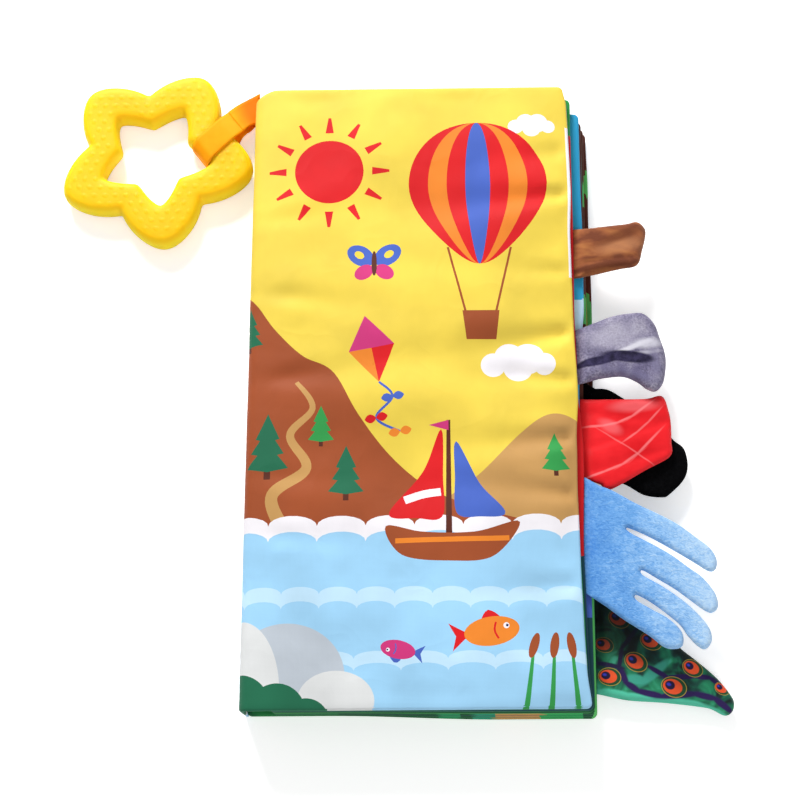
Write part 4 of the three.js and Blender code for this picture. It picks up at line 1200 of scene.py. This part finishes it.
def red_satin():
    nodes = Nodes("red_satin_cloth", roughness=0.5, sheen=0.03, specular=0.2)
    color = nodes.ramp(nodes.noise(14.0), [(0.35, "#d90d18"), (0.65, "#f01f27")])
    nodes.bump(nodes.noise(5.0, detail=2.0, stretch=(0.7, 1.6, 1)), 0.3, 0.5)
    for places, width, most in (
        ([(63, -17.2), (68.4, -16.9), (73.9, -15.7), (79.4, -13.1), (85.3, -8.7)], 0.42, 0.6),
        ([(76.7, -22.1), (80.9, -19.1), (85.2, -15.3), (89.1, -11.1)], 0.35, 0.5),
        ([(62.5, -36.0), (68.4, -33.9), (74.9, -31.2), (80.9, -27.0), (87.6, -20.1)], 0.42, 0.6),
        ([(68.7, -19.4), (77.0, -24.7), (84.8, -30.3)], 0.3, 0.4),
    ):
        color = nodes.tint(color, "#f98a8c", nodes.streaks(places, width, soft=0.6), most)
    for centre, radii, turn in (((80.5, -9.2), (8.5, 2.2), 0.08), ((71.2, -17.2), (4.2, 2.2), -0.5)):
        color = nodes.tint(color, "#fb8b90", nodes.spot(centre, radii, turn, soft=0.5), 0.35)
    return nodes.color(color)


def black_plush():
    nodes = Nodes("black_plush_pile", roughness=0.95, specular=0.04)
    color = nodes.ramp(nodes.noise(1.2, detail=4.0), [(0.3, "#030304"), (0.8, "#0b0b0d")])
    pile(nodes, 0.5, 0.4)
    return nodes.color(color)


def blue_felt():
    """Brushed felt that pales towards the fingers' tips."""
    nodes = Nodes("blue_felt_cloth", roughness=0.95, sheen=0.1, specular=0.1)
    fine = nodes.noise(1.1, detail=6.0, stretch=(0.7, 1.3, 1), distortion=1.2)
    patches = nodes.noise(8.0)
    beyond = nodes.math("SUBTRACT", nodes.part(nodes.coordinates, "X"), 72 * MM)
    mottle = nodes.math("ADD", nodes.math("MULTIPLY", fine, 0.75), nodes.math("MULTIPLY", patches, 0.4))
    mottle = nodes.math("ADD", nodes.math("SUBTRACT", mottle, 0.1), nodes.math("MULTIPLY", beyond, 11.0))
    nodes.bump(fine, 0.35, 0.7)
    stops = [(0.25, "#4a87d0"), (0.5, "#6ea6e2"), (0.72, "#9cc6f0"), (0.95, "#c3dff8")]
    return nodes.color(nodes.ramp(mottle, stops))


def eyespot_plush():
    nodes = Nodes("eyespot_velvet", roughness=0.55, sheen=0.05, specular=0.25)
    color = nodes.ramp(
        nodes.noise(9.0, detail=2.0, distortion=1.0),
        [(0.36, "#0a201c"), (0.45, "#10443a"), (0.53, "#186a4c"), (0.62, "#23885f"), (0.72, "#45b08f")],
    )
    # The first streak, pale green along the lower edge, is a painted highlight
    for places, width, shade in (
        ([(64, -111), (73, -112.4), (82.6, -114.2), (93, -114.8), (99.6, -116.5), (106, -119.5)],
         1.5, "#4fbf9f"),
        ([(74.4, -106.4), (79, -107.4), (85.9, -102)], 1.7, "#3a9c86"),
        ([(70.7, -102.6), (73, -108), (77, -110.8), (85, -112.6), (96.5, -111.8), (103.3, -113.4),
          (108.5, -117.6)], 1.15, "#27124f"),
        ([(81.5, -102.7), (87.4, -106.2), (97, -105.8), (102.1, -106.3), (106, -109)], 0.9, "#27124f"),
        ([(64, -101), (70.7, -102.6), (72, -96), (77, -90)], 0.8, "#1d1440"),
    ):
        color = nodes.mix(nodes.streaks(places, width, soft=0.3), color, shade)
    for x, y, size, turn in (
        (76.2, -100.6, 1.0, -0.5),
        (95.9, -102.8, 0.9, -0.5),
        (88.9, -109.3, 1.08, -0.3),
        (105.8, -109.8, 0.68, -0.4),
        (66.8, -105.7, 0.95, -0.2),
        (65.5, -94.6, 0.8, -0.4),
        (81.9, -93.4, 0.95, -0.4),
        (71.1, -85.6, 0.95, -0.5),
    ):
        centre = Vector((x, y))
        rim = centre + Matrix.Rotation(turn, 2) @ Vector((0.5, 0))
        pupil = centre + Matrix.Rotation(turn, 2) @ Vector((-0.9 * size, 0.2 * size))
        for place, rx, ry, shade, soft in (
            (rim, 4.15, 3.25, "#c2a040", 0.03),
            (rim, 3.95, 3.05, "#174a2b", 0.03),
            (centre, 3.15, 2.35, "#f0562a", 0.04),
            (pupil, 1.6, 1.4, "#180f3a", 0.1),
            (pupil + Vector((-0.4, 0.3)), 0.7, 0.5, "#3c3cc0", 0.4),
        ):
            color = nodes.mix(nodes.spot(place, (rx * size, ry * size), turn, soft), color, shade)
    shadow = nodes.spot((65.0, -85.0), (20.0, 13.0), -0.55, soft=0.45)
    nodes.bump(nodes.noise(0.5), 0.2, 0.5)
    return nodes.color(nodes.tint(color, "#050909", shadow, 0.8))


# Each outline is (share of the length, share of the width) places from head to foot. droop is how
# far the tip hangs down, as a share of the length, and root the sewn root's head and foot.
TAILS = {
    "brown_tail": dict(
        slot="brown_velour", cloth=brown_velour, leaf=1, length=19.9, width=23, thickness=4.0,
        droop=0.140, inset=2.6, spacing=0.9, root=(59.5, 39.7), crease=(1.1, 0.55, ((-4.2, 0.16),)),
        outline=[(0, 0.44), (0.59, 0.52), (0.82, 0.58), (0.95, 0.52), (1, 0.39), (0.91, 0.08),
                 (0.79, -0.19), (0.45, -0.28), (0, -0.38)],
    ),
    "grey_tail": dict(
        slot="grey_plush", cloth=grey_plush, leaf=1, length=25.3, width=30, thickness=4.4,
        droop=0.136, inset=3.6, spacing=0.9, root=(18.9, -2.1),
        outline=[(0, 0.4), (0.24, 0.48), (0.53, 0.53), (0.71, 0.53), (0.86, 0.41), (0.93, 0.23),
                 (0.99, 0.05), (1, -0.11), (0.94, -0.35), (0.82, -0.47), (0.69, -0.45),
                 (0.54, -0.36), (0.33, -0.3), (0, -0.33)],
    ),
    "red_tail": dict(
        slot="red_satin", cloth=red_satin, leaf=2, length=26.8, width=34, thickness=2.2,
        droop=0.079, inset=2.4, spacing=1.0, root=(-6.5, -35.5),
        crease=(1.6, 0.28, ((9.5, -0.1), (-2, 0.35), (-11, 0.3))),
        outline=[(0, 0.45), (0.64, 0.46), (0.9, 0.5), (0.98, 0.33), (1, 0.19), (0.99, -0.01),
                 (0.96, -0.17), (0.61, -0.33), (0.13, -0.54), (0, -0.49)],
    ),
    "black_tail": dict(
        slot="black_plush", cloth=black_plush, leaf=3, length=32.6, width=39, thickness=3.0,
        droop=0.089, inset=3.4, spacing=1.0, root=(1.6, -34.0),
        outline=[(0, 0.48), (0.14, 0.47), (0.3, 0.39), (0.53, 0.25), (0.76, 0.08), (0.86, -0.02),
                 (0.97, -0.1), (1, -0.26), (0.94, -0.4), (0.77, -0.54), (0.69, -0.57),
                 (0.48, -0.55), (0.27, -0.45), (0, -0.39)],
    ),
    "blue_tail": dict(
        slot="blue_felt", cloth=blue_felt, leaf=1, length=40.2, width=58, thickness=2.4,
        droop=0.105, inset=1.8, spacing=0.9, root=(-36.7, -78.3),
        outline=[(0, 0.36), (0.11, 0.33), (0.31, 0.25), (0.52, 0.18), (0.68, 0.12), (0.84, 0.04),
                 (0.95, -0.02), (1, -0.09), (0.98, -0.15), (0.92, -0.16), (0.82, -0.12),
                 (0.7, -0.07), (0.42, 0.04), (0.22, 0.1), (0.24, 0.07), (0.4, 0.01), (0.58, -0.06),
                 (0.74, -0.14), (0.86, -0.2), (0.96, -0.29), (0.98, -0.37), (0.93, -0.41),
                 (0.86, -0.4), (0.7, -0.32), (0.6, -0.27), (0.48, -0.22), (0.33, -0.16),
                 (0.33, -0.19), (0.48, -0.25), (0.61, -0.31), (0.72, -0.37), (0.82, -0.44),
                 (0.89, -0.51), (0.9, -0.58), (0.84, -0.63), (0.77, -0.61), (0.69, -0.55),
                 (0.62, -0.48), (0.42, -0.37), (0.27, -0.31), (0.26, -0.34), (0.4, -0.4),
                 (0.51, -0.44), (0.61, -0.5), (0.65, -0.55), (0.64, -0.61), (0.58, -0.63),
                 (0.48, -0.62), (0.35, -0.55), (0.15, -0.46), (0, -0.38)],
    ),
    "eyespot_tail": dict(
        slot="eyespot_plush", cloth=eyespot_plush, leaf=4, length=45.2, width=44, thickness=3.0,
        droop=0.034, inset=3.0, spacing=1.0, root=(-77.5, -111.6), crease=(1.3, 0.4, ((-10.5, -0.19),)),
        outline=[(0, 0.44), (0.23, 0.37), (0.46, 0.2), (0.62, 0.04), (0.74, -0.06), (0.88, -0.19),
                 (0.97, -0.31), (1, -0.38), (0.98, -0.45), (0.92, -0.48), (0.82, -0.43),
                 (0.72, -0.41), (0.46, -0.38), (0.19, -0.36), (0, -0.32)],
    ),
}
ROOT_STEPS = 12
ROOT_GAP = 0.08
ROOT_FLAT = 0.22
SEWN_EDGE = 0.25


def edge_distances(points, outline):
    """Distance of each point from an open line, all as numpy points."""
    a, b = outline[:-1], outline[1:]
    span = b - a
    share = ((points[:, None] - a) * span).sum(2) / np.maximum((span**2).sum(1), 1e-12)
    near = a + np.clip(share, 0, 1)[..., None] * span
    return np.sqrt(((points[:, None] - near) ** 2).sum(2)).min(1)


def tail_waves(name, look, x, y):
    """How far a tail's cloth lies off its smooth dome: folds and dents."""
    seed = sum(map(ord, name)) * 0.37
    height = 0.16 * noise.noise(Vector((x / 6, y / 6, seed)))
    if name == "grey_tail":
        height += 0.3 * noise.noise(Vector((x / 8, y / 5, seed)))
    width, depth, creases = look.get("crease", (1, 0, ()))
    for start, slope in creases:
        across = (y - start - slope * x) / width
        height -= depth * math.exp(-across * across)
    return height


def tail_mesh(name, look, material):
    """A tail and its sewn root in one piece."""
    hinge = JOINTS[f"{name}_flap"]
    length, width, spacing = look["length"], look["width"], look["spacing"]
    crown = look["thickness"] / 2
    edge = Panel(leaf_panel(look["leaf"]), 1).free_edge
    curve = smooth_path([(out * length, share * width) for out, share in look["outline"]], spacing)
    curve = [Vector((max(point.x, 0.0), point.y)) for point in curve]
    root = []
    head, foot = (y - hinge.y for y in look["root"])
    for i in range(ROOT_STEPS + 1):
        y = foot + (head - foot) * i / ROOT_STEPS
        root.append(Vector((edge(hinge.y + y) - hinge.x + ROOT_GAP, y)))
    start = max(point.x for point in root)
    outline = (root + [root[-1].lerp(curve[0], 0.5)] + curve + [root[0].lerp(curve[-1], 0.5)])[::-1]
    flat, triangles = fill_outline(outline, spacing)
    flat = flat_array(flat)
    half = []
    for (x, y), distance in zip(flat, edge_distances(flat, flat_array(outline))):
        near = min(distance / look["inset"], 1)
        dome = SEWN_EDGE + (crown - SEWN_EDGE) * math.sqrt(max(0.0, 1 - (1 - near) ** 2))
        full = ease((x - start) / 3.5)
        half.append((ROOT_FLAT + (dome - ROOT_FLAT) * full, near * full))
    points = []
    for side in (1, -1):
        for (x, y), (height, loose) in zip(flat, half):
            droop = look["droop"] * length * (max(x, 0) / length) ** 2
            wave = tail_waves(name, look, x, y) * loose if side > 0 else 0.0
            points.append((hinge.x + x, hinge.y + y, hinge.z + side * height + wave - droop))
    return face_out(make_mesh(f"{name}_cloth", points, closed_faces(triangles, len(flat)), material))


def tails():
    materials = {name: look["cloth"]() for name, look in TAILS.items()}
    fleece = wadding_fleece()
    for name, look in TAILS.items():
        made = tail_mesh(name, look, materials[name])
        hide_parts(f"{name}_front_cloth", f"{name}_back_cloth", f"{name}_root")
        filler = bpy.data.objects[f"{name}_filler"]
        filler.data.materials.clear()
        filler.data.materials.append(fleece)
        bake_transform(made)


tails()


# Star teether and its ribbon

STAR_LOW, STAR_HIGH = box_mm("star_teether")
STAR_LOBE = 2 * math.pi / STAR_POINTS
OUTER_STAR = dict(tip=STAR_TIP, valley=26.8, softness=0.13, power=1.0)
HOLE_STAR = dict(tip=21.4, valley=13.6, softness=0.05, power=1.5)
STAR_ROUND = 2.2
STAR_SLOPE = 0.35  # how far the star's faces fall off towards their edges
STAR_STEPS = 360
ACROSS_STEPS = 44
ROUND_STEPS = 7
DOT_PITCH = 4.1
DOT_COLUMNS = 12
DOT_RADIUS = 1.0
DOT_HEIGHT = 0.16
DOT_MARGIN = 2.6
STAR_REACH = STAR_TIP * math.cos(STAR_TURN - STAR_LOBE)
STAR_CENTRE = Vector((STAR_HIGH.x - STAR_REACH, 97.2, (STAR_LOW.z + STAR_HIGH.z) / 2))


def star_outline(star, passes):
    """Outline of a star with round tips, evened out a few times."""
    softness = star["softness"]
    whole = math.hypot(STAR_LOBE / 2, softness) - softness
    points = []
    for angle in (2 * math.pi * i / STAR_STEPS for i in range(STAR_STEPS)):
        from_tip = abs(angle - STAR_LOBE * round(angle / STAR_LOBE))
        fall = math.hypot(from_tip, softness) - softness
        radius = star["valley"] + (star["tip"] - star["valley"]) * (1 - fall / whole) ** star["power"]
        points.append(Vector((math.cos(angle + STAR_TURN), math.sin(angle + STAR_TURN))) * radius)
    for _ in range(passes):
        around = zip(points[-1:] + points[:-1], points, points[1:] + points[:1])
        points = [(a + 2 * b + c) / 4 for a, b, c in around]
    return points


def dots(flat, outer, hole):
    """Heights of the raised dots over flat star points."""
    rows = math.ceil(STAR_TIP / (DOT_PITCH * ROW_SHARE))
    centres = [
        (DOT_PITCH * (column + 0.5 * (row % 2)), row * DOT_PITCH * ROW_SHARE)
        for row in range(-rows, rows + 1)
        for column in range(-DOT_COLUMNS, DOT_COLUMNS + 1)
    ]
    kept = np.array([c for c in centres if inside(outer, *c) and not inside(hole, *c)])
    margins = [edge_distances(kept, np.vstack([border, border[:1]])) for border in (outer, hole)]
    kept = kept[np.minimum(*margins) > DOT_MARGIN]
    distance = np.sqrt(((flat[:, None] - kept) ** 2).sum(2)).min(1)
    return DOT_HEIGHT * np.clip(1 - (distance / DOT_RADIUS) ** 2, 0, 1) ** 0.7


def star_teether(material):
    """The teether: a rounded ring between a star and a star hole, with dots on both faces."""
    outer = star_outline(OUTER_STAR, 6)
    hole = star_outline(HOLE_STAR, 4)
    half = STAR_THICKNESS / 2
    # Each ring is (face, share of the way across, turn round the edge); face 0 is an edge
    across = [k / ACROSS_STEPS for k in range(ACROSS_STEPS + 1)]
    turns = [math.pi * i / ROUND_STEPS for i in range(1, ROUND_STEPS)]
    rings = [(1, share, 0.0) for share in across] + [(0, 1.0, math.pi / 2 - turn) for turn in turns]
    rings += [(-1, 1 - share, 0.0) for share in across] + [(0, 0.0, turn - math.pi / 2) for turn in turns]
    inner_edges = [h + (o - h).normalized() * STAR_ROUND for h, o in zip(hole, outer)]
    outer_edges = [o + (h - o).normalized() * STAR_ROUND for h, o in zip(hole, outer)]
    flat, heights = [], []
    for face, share, turn in rings:
        for i in range(STAR_STEPS):
            if face:
                flat.append(tuple(inner_edges[i].lerp(outer_edges[i], share)))
                heights.append(face * (half - STAR_SLOPE * (2 * share - 1) ** 4))
            else:
                edge, tip = (outer_edges, outer) if share else (inner_edges, hole)
                flat.append(tuple(edge[i].lerp(tip[i], math.cos(turn))))
                heights.append((half - STAR_SLOPE) * math.sin(turn))
    flat = np.array(flat)
    points = []
    for (x, y), z, dot in zip(flat, heights, dots(flat, flat_array(outer), flat_array(hole))):
        lift = math.copysign(dot, z) if abs(z) > half - 0.4 else 0.0
        points.append((STAR_CENTRE.x + x, STAR_CENTRE.y + y, STAR_CENTRE.z + z + lift))
    faces = []
    for r in range(len(rings)):
        here, there = r * STAR_STEPS, (r + 1) % len(rings) * STAR_STEPS
        for i in range(STAR_STEPS):
            j = (i + 1) % STAR_STEPS
            faces.append([here + i, here + j, there + j, there + i])
    return face_out(make_mesh("teether", points, faces, material))


STAR_SWING = JOINTS["teether_swing"]
SPINE_SWING = JOINTS["ribbon_swing"]
RIBBON_WIDTH = 10.4
RIBBON_THICKNESS = 0.3
RIBBON_STEPS = 10
LOOP_HALF = 5.05  # half the height of the ribbon's loop
RIBBON_LEAN = 0.17  # the ribbon leans this much towards the head on its way to the spine
RIBBON_WAY = Vector((math.cos(RIBBON_ANGLE), math.sin(RIBBON_ANGLE), 0))
RIBBON_ACROSS = Vector((-math.sin(RIBBON_ANGLE), math.cos(RIBBON_ANGLE), 0))
BAND_START = box_mm("ribbon_loop")[0].x + RIBBON_WAY.x - 0.5 * RIBBON_WIDTH * RIBBON_ACROSS.x
RIBBON_BACK = (BAND_START - STAR_SWING.x) / RIBBON_WAY.x


def meeting_run(side):
    """How far along its way a thread of the ribbon reaches the spine."""
    return (SPINE_X - 0.2 - STAR_SWING.x - RIBBON_ACROSS.x * side) / RIBBON_WAY.x


def ribbon_mesh(name, path, material, meets_spine=False):
    """A ribbon along a path of (out, across, height) places in the ribbon's own frame, measured
    from the teether's swing line."""
    path = smooth_path(path, 0.7)
    first, last = path[0], path[-1]
    last_side = last.y + RIBBON_LEAN * (last.x - RIBBON_BACK)
    points, width = [], RIBBON_STEPS + 1
    for face in (0.5, -0.5):
        for i, point in enumerate(path):
            along = heading(path, i)
            up = Vector((-along.z, 0, along.x)).normalized()
            side = point.y + RIBBON_LEAN * (point.x - RIBBON_BACK)
            thin = face * RIBBON_THICKNESS * min(1, (1 + min(i, len(path) - 1 - i)) / 4)
            run = (point.x - first.x) / (last.x - first.x) if meets_spine else 0
            for k in range(width):
                share = k / RIBBON_STEPS - 0.5
                wave = 0.12 * noise.noise(Vector((point.x / 5, share * 3, 4.7)))
                x = point.x + run**2 * (meeting_run(last_side + share * RIBBON_WIDTH) - last.x)
                place = STAR_SWING + RIBBON_WAY * x + RIBBON_ACROSS * (side + share * RIBBON_WIDTH)
                lift = (RIBBON_WAY * up.x + Vector((0, 0, up.z))) * (thin + wave)
                points.append(place + Vector((0, 0, point.z)) + lift)
    faces = []
    count = len(path) * width
    for i in range(len(path) - 1):
        for k in range(RIBBON_STEPS):
            a = i * width + k
            quad = [a, a + 1, a + 1 + width, a + width]
            faces += [quad, [c + count for c in quad[::-1]]]
    border = [i * width for i in range(len(path))]
    border += [(len(path) - 1) * width + k for k in range(1, width)]
    border += [i * width + RIBBON_STEPS for i in range(len(path) - 2, -1, -1)]
    border += list(range(RIBBON_STEPS - 1, 0, -1))
    for a, b in zip(border, border[1:] + border[:1]):
        faces.append([a, b, b + count, a + count])
    return face_out(make_mesh(name, points, faces, material))


def orange_satin():
    nodes = Nodes("orange_satin_ribbon", roughness=0.55, specular=0.08)
    color = nodes.ramp(nodes.noise(7.0), [(0.3, "#ff9f08"), (0.7, "#ffaa14")])
    # Painted shade: the ribbon is darker orange near the spine, where it folds down under the book
    painted_fold_shade = nodes.spot((-61.5, 117.0), (6.0, 10.0), 0.3, soft=0.6)
    nodes.bump(nodes.bands(0.25, "X"), 0.05, 0.6)
    return nodes.color(nodes.mix(painted_fold_shade, color, "#f57600"))


def teether_plastic():
    nodes = Nodes("yellow_teether_plastic", roughness=0.5, specular=0.15)
    color = nodes.ramp(nodes.noise(30.0), [(0.3, "#febd0d"), (0.7, "#ffc814")])
    nodes.bump(nodes.noise(1.5), 0.04, 0.4)
    # The star's side walls, where the normal isn't upright, are painted lighter to make up for the shade
    # they get from the lamps
    upright = nodes.math("ABSOLUTE", nodes.part(nodes.coordinates.node.outputs["Normal"], "Z"))
    radius = (1.0, 0.75, 0.25)
    put(nodes.shader, {"Subsurface Weight": 0.7, "Subsurface Radius": radius, "Subsurface Scale": 0.012})
    return nodes.color(nodes.tint(color, "#ffdd2c", nodes.math("SUBTRACT", 0.9, upright), 1.1))


def teether():
    star = star_teether(teether_plastic())
    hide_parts("star_teether")
    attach(star, "teether")
    satin = orange_satin()
    back = RIBBON_BACK
    top = LOOP_HALF
    path = [(0.8, 0, 3.3), (-0.4, 0, 3.55), (-1.6, 0, 3.9), (-4.4, 0, 4.75), (-6.5, 0, top),
            (back + 3.5, 0.2, top), (back + 1.2, 0, top - 0.7), (back - 0.75, 0, 2.2),
            (back - 0.75, 0, -2.2), (back + 1.2, 0, 0.7 - top), (back + 3.5, 0.2, -top),
            (-6.5, 0.6, -top), (-4.4, 0.5, -4.2), (-1.6, 0.2, -0.9), (0.5, 0, -0.3), (2.4, 0, -0.3)]
    loop = ribbon_mesh("ribbon_band", path, satin)
    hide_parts("ribbon_loop")
    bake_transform(loop)
    reach = (SPINE_SWING - STAR_SWING).dot(RIBBON_WAY)
    end = [(-0.5, 0, 3.86), (0.8, 0, 3.56), (reach * 0.5, -0.2, 3.2), (reach, -0.9, 2.3),
           (reach + 1.6, -1.3, 1.9)]
    low_end = [(1.4, 0, -0.75), (reach * 0.5, -0.2, -0.8), (reach, 0, -0.75), (reach + 1.6, 0, -0.75)]
    upper = ribbon_mesh("ribbon_end", end, satin, meets_spine=True)
    lower = ribbon_mesh("ribbon_end_under", low_end, satin, meets_spine=True)
    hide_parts("ribbon_strap", "ribbon_tab")
    for piece in (upper, lower):
        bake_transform(piece)


teether()


# Camera, light and floor

CAMERA_PLACE = (0.68, -164.0, 499.4)
CAMERA_LENS = 63
CAMERA_SENSOR = 36
CAMERA_TURNS = ((-0.58, "Z"), (17.97, "X"), (0.8, "Y"))
FLOOR_HALF = 6000.0
FLOOR_LIFT = 0.42  # the camera sees the floor this much brighter, so that it is white
FAR_FLOOR_LIFT = 0.9
WORLD_LIGHT = 0.38


def add_object(name, data):
    made = bpy.data.objects.new(name, data)
    bpy.context.scene.collection.objects.link(made)
    return made


def camera():
    """The photograph's view: nearly from above, tilted a little towards the book's head."""
    data = bpy.data.cameras.new("camera")
    data.sensor_width = CAMERA_SENSOR
    data.lens = CAMERA_LENS
    made = add_object("camera", data)
    turn = Matrix.Identity(4)
    for degrees, axis in CAMERA_TURNS:
        turn = turn @ Matrix.Rotation(math.radians(degrees), 4, axis)
    made.matrix_world = Matrix.Translation(Vector(CAMERA_PLACE) * MM) @ turn
    bpy.context.scene.camera = made


def lamp(name, place, size, power):
    """A soft square lamp that looks at the book. Its place and size are metres."""
    data = bpy.data.lights.new(name, "AREA")
    data.shape = "SQUARE"
    data.size = size
    data.energy = power
    made = add_object(name, data)
    made.location = place
    made.rotation_euler = (-Vector(place)).to_track_quat("-Z", "Y").to_euler()


def studio_world():
    """Soft light from all sides, and a white background for the camera."""
    world = bpy.data.worlds.new("studio_world")
    world.use_nodes = True
    strength = world.node_tree.nodes.new("ShaderNodeMapRange")
    seen = world.node_tree.nodes.new("ShaderNodeLightPath").outputs["Is Camera Ray"]
    put(strength, {"To Min": WORLD_LIGHT, "To Max": 1.0, "Value": seen})
    background = world.node_tree.nodes["Background"]
    put(background, {"Color": (1, 1, 1, 1), "Strength": strength.outputs["Result"]})
    bpy.context.scene.world = world


def floor():
    nodes = Nodes("floor_white", roughness=0.9, specular=0.1)
    nodes.color(nodes.ramp(nodes.noise(90.0), [(0.0, "#fcfcfc"), (1.0, "#fdfdfd")]))
    ends = dict(From_Min=0.4, From_Max=1.5, To_Min=FLOOR_LIFT, To_Max=FAR_FLOOR_LIFT)
    lift = nodes.smooth_step(nodes.length(nodes.coordinates), **ends)
    seen = nodes.add("ShaderNodeLightPath").outputs["Is Camera Ray"]
    glow = nodes.add("ShaderNodeEmission", {"Strength": nodes.math("MULTIPLY", seen, lift)})
    both = nodes.add("ShaderNodeAddShader", {0: nodes.shader.outputs["BSDF"], 1: glow.outputs["Emission"]})
    put(nodes.tree.nodes["Material Output"], {"Surface": both.outputs["Shader"]})
    corners = [(x * FLOOR_HALF, y * FLOOR_HALF, 0) for x, y in ((-1, -1), (1, -1), (1, 1), (-1, 1))]
    make_mesh("floor", corners, [[0, 1, 2, 3]], nodes.material, smooth=False)


camera()
lamp("key_lamp", place=(-0.3, 0.95, 0.66), size=0.35, power=17.6)
lamp("fill_lamp", place=(0.3, -0.9, 0.7), size=0.9, power=4.6)
studio_world()
floor()
bpy.context.scene.view_settings.view_transform = "Standard"
